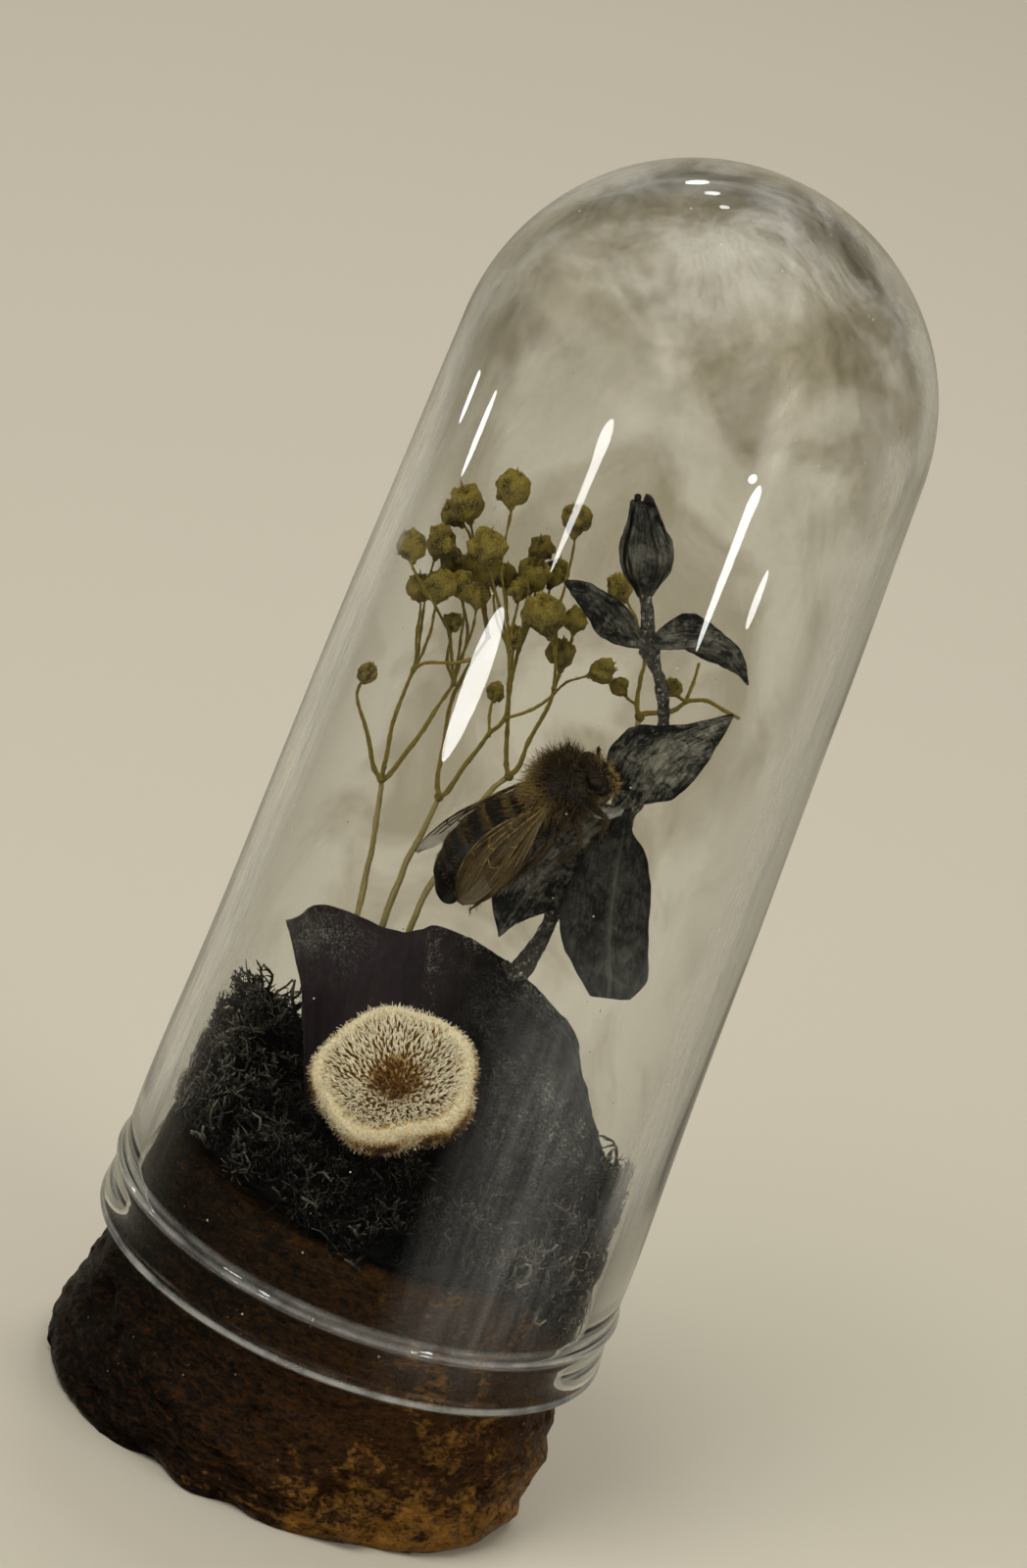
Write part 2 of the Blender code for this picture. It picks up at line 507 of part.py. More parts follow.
def moss_height(x, y):
    """Level of the moss: flat ground with round clumps on it."""
    rise = np.zeros_like(x)
    for clump_x, clump_y, height, reach in MOSS_CLUMPS:
        far = (x - clump_x) ** 2 + (y - clump_y) ** 2
        rise = np.maximum(rise, height * np.exp(-far / reach ** 2))
    return MOSS_TOP + rise


def side_share(angle, side):
    """1 at the middle of a side of the moss, falling to 0 round the rest."""
    turn = (angle - side["angle"] + 180.0) % 360.0 - 180.0
    return np.exp(-(turn / side["reach"]) ** 2)


def shape_moss(places):
    """Draws the mound's edge in where the plug is bare, hangs it over the plug on one side,
    and lifts its top to the clumps."""
    x, y, z = places.T
    angle = np.degrees(np.arctan2(y, x))
    radius = np.hypot(x, y)
    hanging = side_share(angle, MOSS_DROOP)
    near_edge = np.clip((radius - 10.0) / (MOSS_RIM - 10.0), 0.0, 1.0)
    rim = (radius > MOSS_RIM - 0.1) & (z < MOSS_FLOOR + 1.0)
    grown = radius - near_edge * MOSS_BARE["depth"] * side_share(angle, MOSS_BARE)
    grown += rim * (MOSS_OUTER - MOSS_RIM) * hanging
    share = np.where(radius > 0, grown / np.maximum(radius, WELD), 1.0)
    level = moss_height(x * share, y * share)
    flank = z - rim * MOSS_DROOP["depth"] * hanging
    flank += (z > MOSS_FLOOR + 0.5) * 0.5 * (level - MOSS_TOP)
    return np.column_stack([x * share, y * share, np.where(z > MOSS_TOP - 0.01, level, flank)])


def build_moss(parent):
    profile = [
        (0.0, MOSS_FLOOR), (MOSS_EDGE - 0.5, MOSS_FLOOR), (MOSS_EDGE, MOSS_FLOOR),
        (MOSS_RIM, MOSS_FLOOR + 0.1), (MOSS_RIM, MOSS_FLOOR + 0.8),
    ]
    profile += [(radius, MOSS_TOP) for radius in MOSS_RINGS]
    moss = turned("moss_mound", profile, MOSS_STEPS)
    reshape(moss, shape_moss)
    dress(moss, "black_moss", parent)


def sheet_from_rows(name, rows):
    """A one-sided sheet through rows of points."""
    bm = bmesh.new()
    grid = [[bm.verts.new(Vector(spot) * MM) for spot in row] for row in rows]
    for low, high in zip(grid, grid[1:]):
        for left in range(len(low) - 1):
            bm.faces.new((low[left], low[left + 1], high[left + 1], high[left]))
    return object_from_bmesh(name, bm)


def thicken(item, thickness):
    solid = item.modifiers.new("thickness", "SOLIDIFY")
    solid.thickness = thickness * MM
    solid.offset = 0.0
    solid.use_even_offset = False


def build_petal(parent):
    petal = sheet_from_rows("dark_petal", PETAL_ROWS)
    smooth = petal.modifiers.new("smooth", "SUBSURF")
    smooth.levels = 1
    smooth.render_levels = 1
    thicken(petal, PETAL_THICKNESS)
    dress(petal, "violet_petal", parent, sharp_angle=60.0)


def press_flower(places):
    """Makes the round head slightly five-sided and flat on one side."""
    angle = np.arctan2(places[:, 1], places[:, 0])
    radius = np.hypot(places[:, 0], places[:, 1])
    from_flat = (np.degrees(angle) - FLOWER_FLAT_ANGLE) / FLOWER_FLAT_REACH
    pressed = FLOWER_FLAT_DEPTH / FLOWER_PROFILE[4][0] * np.exp(-from_flat ** 2)
    change = 1.0 + (FLOWER_WAVE * np.cos(5 * angle + 0.6) - pressed) * (radius > 3.0)
    return places * np.column_stack([change, change, np.ones_like(change)])


def build_flower(parent):
    flower = turned("flower_head", FLOWER_PROFILE, FLOWER_STEPS)
    reshape(flower, press_flower)
    dress(flower, "cream_felt", parent)
    up = turn_to(FLOWER_FACING, (1.0, 0.0, 0.0))
    face_up = Matrix((up.col[1], up.col[2], up.col[0])).transposed()
    flower.matrix_world = Matrix.Translation(Vector(FLOWER_CENTRE) * MM) @ face_up.to_4x4()


def leaf_rows(leaf, rows=6, columns=4):
    """Rows across a leaf from base to tip: a bowed midrib, a rounded outline and a cupped blade."""
    base, tip = np.array(leaf["base"]), np.array(leaf["tip"])
    side = np.array(leaf["side"], dtype=float)
    along = tip - base
    side -= along * (side @ along) / (along @ along)
    side /= np.linalg.norm(side)
    face = np.cross(along, side)
    face *= -np.sign(face[1]) / np.linalg.norm(face)
    across = np.linspace(-1.0, 1.0, columns + 1)
    result = []
    for t in np.linspace(0.0, 1.0, rows + 1):
        shift = t ** (math.log(0.5) / math.log(leaf["widest"]))
        spread = max(math.sin(math.pi * shift) ** 0.8, 0.06 + leaf["blunt"] * t ** 3)
        half = leaf["width"] / 2 * spread
        middle = base + along * t + side * leaf["arch"] * math.sin(math.pi * t)
        lift = leaf["cup"] * (across ** 2) * spread
        result.append([middle + side * half * a + face * b for a, b in zip(across, lift)])
    return result


def build_leaf(name, leaf, parent):
    blade = sheet_from_rows(name, leaf_rows(leaf))
    thicken(blade, LEAF_THICKNESS)
    dress(blade, "grey_leaf", parent, sharp_angle=60.0)


def build_leafy_sprig(parent):
    stem = tube("leaf_stem", smooth_path(STEM_PATH, 2), STEM_WIDTHS, resolution=1)
    dress(stem, "grey_stem", parent)
    for name, leaf in LEAVES.items():
        build_leaf(name, leaf, parent)
    build_flower_bud(parent)


def ridge_bud(places):
    """Folds the closed bud into five lobes that meet in a blunt tip."""
    x, y, z = places.T
    angle = np.arctan2(z, y)
    to_tip = np.clip(x / x.max(), 0.0, 1.0)
    narrow = 1.0 - BUD_NARROWING * to_tip ** 1.5
    ridge = 1.0 + BUD_RIDGE * np.cos(5 * angle)
    return np.column_stack([x, y * narrow * ridge, z * narrow * ridge])


def build_flower_bud(parent):
    foot, tip = Vector(BUD_FOOT), Vector(BUD_TIP)
    length = (tip - foot).length
    bud = ball("flower_bud", (0.0, 0.0, 0.0), (BUD_WIDTH, BUD_WIDTH, length), 10, 7)
    reshape(bud, lambda places: ridge_bud(places[:, [2, 0, 1]])[:, [1, 2, 0]])
    dress(bud, "grey_leaf", parent)
    up = turn_to(tip - foot, (0.0, 1.0, 0.0))
    stand = Matrix((up.col[1], up.col[2], up.col[0])).transposed()
    bud.matrix_world = Matrix.Translation((foot + tip) / 2 * MM) @ stand.to_4x4()


def build_glue(parent):
    glue = ball("glue_drop", GLUE_CENTRE, GLUE_SIZE, 8, 6, turn_to((0.9, 0.25, 0.35)))
    dress(glue, "clear_glue", parent)


def bee_abdomen():
    """An egg drawn along the bee's spine, with a groove between its bands."""
    spine = smooth_path(BEE_SPINE, 6)
    stations = np.linspace(0, 1, len(spine))
    body = ball("abdomen", (0.0, 0.0, 0.0), (2.0, 2.0, 2.0), 12, 14)

    def along_spine(places):
        share = (1.0 - places[:, 2]) / 2
        middle = np.column_stack([np.interp(share, stations, spine[:, axis]) for axis in range(3)])
        band = 1.0 - BEE_GROOVE * (0.5 + 0.5 * np.cos(math.tau * BEE_RINGS * share))
        girth = BEE_GIRTH * band * (1.0 - BEE_TAPER * share)
        tipped = np.radians(np.interp(share, [0.0, 0.5, 1.0], BEE_TAIL_TURN))
        across = places[:, 1] * girth
        lift = places[:, 0] * girth
        shift = np.column_stack([-lift * np.sin(tipped), across, lift * np.cos(tipped)])
        return middle + shift

    reshape(body, along_spine)
    bm = bmesh.new()
    bm.from_mesh(body.data)
    bpy.data.objects.remove(body, do_unlink=True)
    return object_from_bmesh("abdomen", bm)


def bee_wing(index, shape):
    """A thin blade, narrow at the root and round at the tip."""
    root, tip = np.array(shape["root"]), np.array(shape["tip"])
    along = tip - root
    across = np.array(shape["across"], dtype=float)
    across -= along * (across @ along) / (along @ along)
    across /= np.linalg.norm(across)
    rows = []
    for t in (0.0, 0.3, 0.55, 0.8, 0.95, 1.0):
        widening = max(0.16, min(1.0, 1.5 * t ** 0.9))
        rounding = 1.0 - max(0.0, t - 0.72) ** 2 * 9.5
        half = shape["width"] / 2 * widening * rounding
        rows.append([root + along * t + across * half * a for a in (-1.0, 0.0, 1.0)])
    blade = sheet_from_rows("wing_%d" % index, rows)
    thicken(blade, WING_THICKNESS)
    apply_modifiers(blade)
    return blade


def build_bee(parent):
    pieces = [
        ball("thorax", BEE_THORAX["centre"], BEE_THORAX["size"], 12, 8),
        ball("head", BEE_HEAD["centre"], BEE_HEAD["size"], 12, 8),
        bee_abdomen(),
    ]
    for number, leg in enumerate(BEE_LEGS):
        pieces.append(tube("leg_%d" % number, leg, BEE_LEG_WIDTHS, resolution=0))
    for number, feeler in enumerate(BEE_FEELERS):
        pieces.append(tube("feeler_%d" % number, feeler, BEE_FEELER_WIDTHS, resolution=0))
    pieces += [bee_wing(number, shape) for number, shape in enumerate(BEE_WINGS)]
    bee = fuse("bee", pieces)
    dress(bee, "bee_body", parent)
    axes = turn_to(BEE_FORWARD, BEE_BACK)
    bee.matrix_world = Matrix.Translation(Vector(BEE_PLACE) * MM) @ axes.to_4x4()


def rooted(path, number):
    """A path whose first point is drawn back into what carries it, each a little differently."""
    points = np.array(path)
    away = (points[1] - points[0]) / np.linalg.norm(points[1] - points[0])
    points[0] -= away * TWIG_ROOT * (1 + 0.3 * number)
    return points


def build_branch(name, arms, parent):
    """A branch of a sprig: its arms, each with its bud, joined in one body."""
    pieces = []
    for number, arm in enumerate(arms):
        path = rooted(arm["path"], number) if number else np.array(arm["path"])
        width = TWIG_WIDTH if number else BRANCH_WIDTH
        pieces.append(tube("%s_arm_%d" % (name, number), path, [width], resolution=0))
        if arm["bud"]:
            size = (arm["bud"] * 1.05, arm["bud"], arm["bud"])
            lean = turn_to(path[-1] - path[-2])
            pieces.append(ball("%s_bud_%d" % (name, number), path[-1], size, 6, 5, lean))
    dress(fuse(name, pieces), "olive_bud", parent)


def build_sprigs(parent):
    for name, path in SPRIG_STEMS.items():
        stem = tube(name, smooth_path(path, 2), [STEM_FOOT_WIDTH, BRANCH_WIDTH], resolution=0)
        dress(stem, "straw_stem", parent)
    for name, arms in SPRIG_BRANCHES.items():
        build_branch(name, arms, parent)


def main():
    clear_scene()
    keepsake = bpy.data.objects.new("keepsake", None)
    bpy.context.scene.collection.objects.link(keepsake)
    build_cork(keepsake)
    build_glass(keepsake)
    build_moss(keepsake)
    build_petal(keepsake)
    build_flower(keepsake)
    build_leafy_sprig(keepsake)
    build_glue(keepsake)
    build_bee(keepsake)
    build_sprigs(keepsake)
    bpy.context.view_layer.update()


main()
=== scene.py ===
# Insect in a glass dome: a dried honey bee and dried plants on a dark cork plug, under blown glass.
# Shapes are worked out in millimetres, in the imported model's own frame, and turn into metres
# where a mesh is made. The dome's axis is Z, and the bee shows from the -Y side.

import math

import bpy
import numpy as np
from mathutils import Matrix, Vector


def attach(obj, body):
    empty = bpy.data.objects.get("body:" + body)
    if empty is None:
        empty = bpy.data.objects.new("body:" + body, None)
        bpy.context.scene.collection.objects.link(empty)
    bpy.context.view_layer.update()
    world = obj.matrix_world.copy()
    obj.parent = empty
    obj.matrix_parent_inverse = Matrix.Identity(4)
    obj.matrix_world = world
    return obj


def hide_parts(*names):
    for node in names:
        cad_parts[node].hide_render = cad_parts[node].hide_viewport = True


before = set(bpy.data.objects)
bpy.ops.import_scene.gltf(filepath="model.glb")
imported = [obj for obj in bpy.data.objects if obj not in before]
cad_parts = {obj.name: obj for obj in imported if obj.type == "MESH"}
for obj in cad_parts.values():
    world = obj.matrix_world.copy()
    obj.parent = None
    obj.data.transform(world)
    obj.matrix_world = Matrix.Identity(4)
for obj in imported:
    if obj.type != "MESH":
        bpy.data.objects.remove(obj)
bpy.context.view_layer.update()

mm = 0.001
tau = 2.0 * math.pi
chance = np.random.default_rng(20)      # every random draw comes from here, in the same order each run


# vectors cut to a length of one
def unit(vectors):
    return vectors / np.maximum(np.linalg.norm(vectors, axis=-1, keepdims=True), 1e-9)


# a hex colour, as paint charts give it, turned into the shader's linear values
def tint(code):
    shares = np.array([int(code[i:i + 2], 16) / 255.0 for i in (1, 3, 5)])
    linear = np.where(shares <= 0.04045, shares / 12.92, ((shares + 0.055) / 1.055) ** 2.4)
    return (*linear.tolist(), 1.0)


# smooth random hills from -1 to 1: whole-number cells get hashed heights, blended by a quintic step
def hills(points, size, seed=0):
    spots = np.asarray(points, float) / size
    cells = np.floor(spots).astype(np.int64)
    inside = spots - cells
    blend = inside ** 3 * (inside * (inside * 6 - 15) + 10)
    total = np.zeros(spots.shape[:-1])
    for corner in range(8):
        step = np.array([corner & 1, corner >> 1 & 1, corner >> 2 & 1])
        x, y, z = np.moveaxis(cells + step, -1, 0)
        mixed = (x * 374761393 + y * 668265263 + z * 1103515245 + seed * 362437) & 0xffffffff
        mixed = ((mixed ^ (mixed >> 13)) * 1274126177) & 0xffffffff
        height = ((mixed ^ (mixed >> 16)) & 0xffff) / 32767.5 - 1.0
        total += height * np.prod(np.where(step == 1, blend, 1 - blend), axis=-1)
    return total


# hills on hills: each layer is half the size and half the height of the one before
def roughness(points, size, seed=0, layers=3):
    return sum(hills(points, size / 2 ** n, seed + n) / 2 ** n for n in range(layers))


# a curve through every knot, its slopes taken from the neighbouring knots (Catmull-Rom)
def through(knots, count):
    knots = np.asarray(knots, float)
    reach = np.concatenate([2 * knots[:1] - knots[1:2], knots, 2 * knots[-1:] - knots[-2:-1]])
    steps = np.linspace(0, len(knots) - 1, count)
    span = np.minimum(steps.astype(int), len(knots) - 2)
    t = (steps - span).reshape(-1, *[1] * (knots.ndim - 1))
    before, start, end, after = (reach[span + n] for n in range(4))
    return 0.5 * (
        2 * start + (end - before) * t + (2 * before - 5 * start + 4 * end - after) * t ** 2
        + (3 * start - before - 3 * end + after) * t ** 3
    )


# a sheet through a table of knots: the curve above, first down the table and then across it
def sheetThrough(table, rows, columns):
    return np.swapaxes(through(np.swapaxes(through(table, rows), 0, 1), columns), 0, 1)


# three directions square to each other: the way given, its left, and up as near the hint as can be
def axesAlong(forward, hint):
    forward = unit(np.array(forward, float))
    left = unit(np.cross(hint, forward))
    return np.array([forward, left, np.cross(forward, left)])


# a smooth step from 0 to 1 between two values
def step(values, low, high):
    t = np.clip((values - low) / (high - low), 0.0, 1.0)
    return t * t * (3 - 2 * t)


# a shape is its points, its quads and triangles, and marks that its finish reads
def shapeOf(points, quads=None, tris=None, **marks):
    points = np.asarray(points, float).reshape(-1, 3)
    quads = np.zeros((0, 4), int) if quads is None else np.asarray(quads).reshape(-1, 4)
    tris = np.zeros((0, 3), int) if tris is None else np.asarray(tris).reshape(-1, 3)
    return {
        "points": points, "quads": quads, "tris": tris,
        "marks": {name: np.broadcast_to(values, len(points)) for name, values in marks.items()},
    }


# several shapes as one: their points one after the other, each face counted on by what came before
def joined(shapes):
    starts = np.cumsum([0] + [len(s["points"]) for s in shapes[:-1]])
    names = {name for s in shapes for name in s["marks"]}
    whole = shapeOf(
        np.concatenate([s["points"] for s in shapes]),
        np.concatenate([s["quads"] + n for s, n in zip(shapes, starts)]),
        np.concatenate([s["tris"] + n for s, n in zip(shapes, starts)]),
    )
    whole["marks"] = {
        name: np.concatenate([s["marks"].get(name, np.zeros(len(s["points"]))) for s in shapes])
        for name in names
    }
    return whole


# rings of points one above the other, joined by quads, and closed at both ends by a point
def ringed(rings, startPole, endPole, **marks):
    rows, sides = rings.shape[:2]
    corner = np.arange(rows * sides).reshape(rows, sides)
    beside = np.roll(corner, -1, axis=1)
    quads = np.stack([corner[:-1], beside[:-1], beside[1:], corner[1:]], axis=-1)
    first, last = rows * sides, rows * sides + 1
    tris = np.concatenate([
        np.stack([np.full(sides, first), beside[0], corner[0]], axis=-1),
        np.stack([corner[-1], beside[-1], np.full(sides, last)], axis=-1),
    ])
    points = np.concatenate([rings.reshape(-1, 3), [startPole], [endPole]])
    spread = {
        name: np.concatenate([np.broadcast_to(v, (rows, sides)).ravel(), [v.flat[0], v.flat[-1]]])
        for name, v in ((name, np.asarray(v, float)) for name, v in marks.items())
    }
    return shapeOf(points, quads, tris, **spread)


# a profile of radius and height turned about Z, with bulge(angle, height, radius) added to the radius
def turned(profile, sides, bulge=None):
    profile = np.asarray(profile, float)
    angle = np.arange(sides) * tau / sides
    radius = np.repeat(profile[1:-1, :1], sides, axis=1)
    height = np.repeat(profile[1:-1, 1:], sides, axis=1)
    if bulge is not None:
        radius = radius + bulge(angle[None, :], height, radius)
    rings = roundAxis(radius, angle, height)
    return ringed(rings, (0, 0, profile[0, 1]), (0, 0, profile[-1, 1]))


# many round rods at once: rings square to each path, closed at both ends; paths is (rods, points, 3)
def rods(paths, radii, sides, **marks):
    paths = np.asarray(paths, float)
    count, length = paths.shape[:2]
    radii = np.broadcast_to(np.asarray(radii, float), (count, length))
    ahead = unit(np.gradient(paths, axis=1))
    chord = unit(paths[:, -1] - paths[:, 0] + 1e-6)
    hint = np.where(np.abs(chord[:, 2:]) > 0.75, [[1.0, 0.0, 0.0]], [[0.0, 0.0, 1.0]])
    side = unit(np.cross(ahead, hint[:, None]))
    rise = np.cross(side, ahead)
    turn = np.arange(sides) * tau / sides
    around = np.cos(turn)[:, None] * side[:, :, None] + np.sin(turn)[:, None] * rise[:, :, None]
    body = (paths[:, :, None] + around * radii[:, :, None, None]).reshape(count, -1, 3)
    ends = np.stack([paths[:, 0], paths[:, -1] + ahead[:, -1] * radii[:, -1:]], axis=1)
    corner = np.arange(length * sides).reshape(length, sides)
    beside = np.roll(corner, -1, axis=1)
    quads = np.stack([corner[:-1], corner[1:], beside[1:], beside[:-1]], axis=-1).reshape(-1, 4)
    first = length * sides
    tris = np.concatenate([
        np.stack([np.full(sides, first), corner[0], beside[0]], axis=-1),
        np.stack([np.full(sides, first + 1), beside[-1], corner[-1]], axis=-1),
    ])
    start = (np.arange(count) * (first + 2))[:, None, None]
    along = np.concatenate([np.repeat(np.linspace(0, 1, length), sides), [0.0, 1.0]])
    spread = {name: np.repeat(np.broadcast_to(v, count), first + 2) for name, v in marks.items()}
    return shapeOf(
        np.concatenate([body, ends], axis=1), quads + start, tris + start,
        along=np.tile(along, count), **spread,
    )


# which way a sheet faces at each of its points: square to the steps along and across it
def facing(sheet):
    return unit(np.cross(np.gradient(sheet, axis=0), np.gradient(sheet, axis=1)))


# random places on a shape's faces, chosen by area, with the way each face looks
def scatter(shape, count):
    faces = np.concatenate([shape["quads"][:, :3], shape["quads"][:, [0, 2, 3]], shape["tris"]])
    a, b, c = np.moveaxis(shape["points"][faces], 1, 0)
    out = np.cross(b - a, c - a)
    area = np.linalg.norm(out, axis=1)
    chosen = chance.choice(len(faces), count, p=area / area.sum())
    shares = chance.random((2, count, 1))
    shares = np.where(shares.sum(axis=0) > 1, 1 - shares, shares)
    spots = a[chosen] + shares[0] * (b - a)[chosen] + shares[1] * (c - a)[chosen]
    return spots, unit(out[chosen])


# which way a shape faces at each point: the mean of its faces there, larger faces counting more
def outward(shape):
    points = shape["points"]
    faces = np.concatenate([shape["quads"][:, :3], shape["quads"][:, [0, 2, 3]], shape["tris"]])
    a, b, c = np.moveaxis(points[faces], 1, 0)
    sums = np.zeros_like(points)
    np.add.at(sums, faces.ravel(), np.repeat(np.cross(b - a, c - a), 3, axis=0))
    return unit(sums)


# moves a shape's points out and in by rough hills, as deep as depth says at each point
def roughen(shape, size, depth, seed=0, layers=3, stretch=(1, 1, 1)):
    height = depth * roughness(shape["points"] * stretch, size, seed, layers)
    shape["points"] = shape["points"] + outward(shape) * np.asarray(height)[:, None]
    return shape


# hairs: each leaves its root along its way, bends by the square of the share gone, and thins to its tip
def hairs(roots, ways, lengths, width, bends, steps=4, sides=3, sink=0.08, tip=0.3, **marks):
    t = np.linspace(0, 1, steps)
    gone = ways[:, None] * t[:, None] + bends[:, None] * t[:, None] ** 2
    paths = (roots - ways * sink)[:, None] + gone * lengths[:, None, None]
    widths = np.broadcast_to(width, len(roots))[:, None]
    return rods(paths, widths / 2 * (1 - (1 - tip) * t), sides, **marks)


# random directions, all round
def anyWay(count):
    return unit(chance.normal(size=(count, 3)))


# points of three coordinates, each spread over the table that they make together
def pointsOf(x, y, z):
    return np.stack(np.broadcast_arrays(x, y, z), axis=-1)


# points round the Z axis, at a radius, an angle and a height
def roundAxis(radius, angle, height):
    return pointsOf(radius * np.cos(angle), radius * np.sin(angle), height)


# a thin closed shell on both sides of a sheet, as thick as thickness says at each point
def shell(sheet, thickness, **marks):
    rows, columns = sheet.shape[:2]
    lift = facing(sheet) * np.broadcast_to(thickness, (rows, columns))[..., None] / 2
    front = np.arange(rows * columns).reshape(rows, columns)
    back = front + rows * columns
    loop = np.concatenate([front, back[:, ::-1]], axis=1)
    beside = np.roll(loop, -1, axis=1)
    quads = np.concatenate([
        np.stack([loop[:-1], loop[1:], beside[1:], beside[:-1]], axis=-1).reshape(-1, 4),
        np.stack([front[0, :-1], front[0, 1:], back[0, 1:], back[0, :-1]], axis=-1),
        np.stack([front[-1, 1:], front[-1, :-1], back[-1, :-1], back[-1, 1:]], axis=-1),
    ])
    spread = {name: np.tile(np.broadcast_to(v, (rows, columns)).ravel(), 2) for name, v in marks.items()}
    along, across = np.meshgrid(np.linspace(0, 1, rows), np.linspace(-1, 1, columns), indexing="ij")
    spread.update(along=np.tile(along.ravel(), 2), across=np.tile(across.ravel(), 2))
    return shapeOf(np.concatenate([sheet + lift, sheet - lift]), quads, **spread)


# an egg on its own axes: latitude rings scaled by the three half widths
def egg(centre, halves, sides=24, rows=16, axes=np.eye(3), **marks):
    fall = np.linspace(0, math.pi, rows + 2)[1:-1, None]
    turn = np.arange(sides) * tau / sides
    x = np.cos(fall)
    y = np.sin(fall) * np.cos(turn)
    z = np.sin(fall) * np.sin(turn)
    rings = pointsOf(x, y, z)[:, ::-1] * halves @ axes + centre
    poles = (np.array([[1, 0, 0], [-1, 0, 0]]) * halves) @ axes + centre
    return ringed(rings, poles[0], poles[1], **marks)


# puts a shape into the scene: one mesh at the origin, smooth, in its finish, riding on the body
def addPiece(name, shape, finish, stands=()):
    mesh = bpy.data.meshes.new(name)
    points = (shape["points"] * mm).astype(np.float32)
    quads, tris = shape["quads"], shape["tris"]
    corners = np.concatenate([quads.ravel(), tris.ravel()])
    sizes = np.concatenate([np.full(len(quads), 4), np.full(len(tris), 3)])
    mesh.vertices.add(len(points))
    mesh.vertices.foreach_set("co", points.ravel())
    mesh.loops.add(len(corners))
    mesh.loops.foreach_set("vertex_index", corners.astype(np.int32))
    mesh.polygons.add(len(sizes))
    mesh.polygons.foreach_set("loop_start", (np.cumsum(sizes) - sizes).astype(np.int32))
    for mark, values in shape["marks"].items():
        layer = mesh.attributes.new(mark, "FLOAT", "POINT")
        layer.data.foreach_set("value", np.asarray(values, np.float32))
    mesh.update(calc_edges=True)
    mesh.validate()
    mesh.shade_smooth()
    mesh.materials.append(finish)
    piece = bpy.data.objects.new(name, mesh)
    bpy.context.scene.collection.objects.link(piece)
    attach(piece, "root")
    if stands:
        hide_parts(*stands)
    print("made %s: %d triangles" % (name, 2 * len(quads) + len(tris)))


# a value in a node tree: sums on it add Math nodes
class Value:
    def __init__(self, nodes, socket):
        self.nodes, self.socket = nodes, socket

    def __add__(self, other):
        return self.nodes.sum("ADD", self, other)

    def __sub__(self, other):
        return self.nodes.sum("SUBTRACT", self, other)

    def __rsub__(self, other):
        return self.nodes.sum("SUBTRACT", other, self)

    def __mul__(self, other):
        return self.nodes.sum("MULTIPLY", self, other)

    def __truediv__(self, other):
        return self.nodes.sum("DIVIDE", self, other)

    def __lt__(self, other):
        return self.nodes.sum("LESS_THAN", self, other)

    def __gt__(self, other):
        return self.nodes.sum("GREATER_THAN", self, other)

    def __abs__(self):
        return self.nodes.sum("ABSOLUTE", self)

    # kept between 0 and 1
    def clamped(self):
        self.socket.node.use_clamp = True
        return self


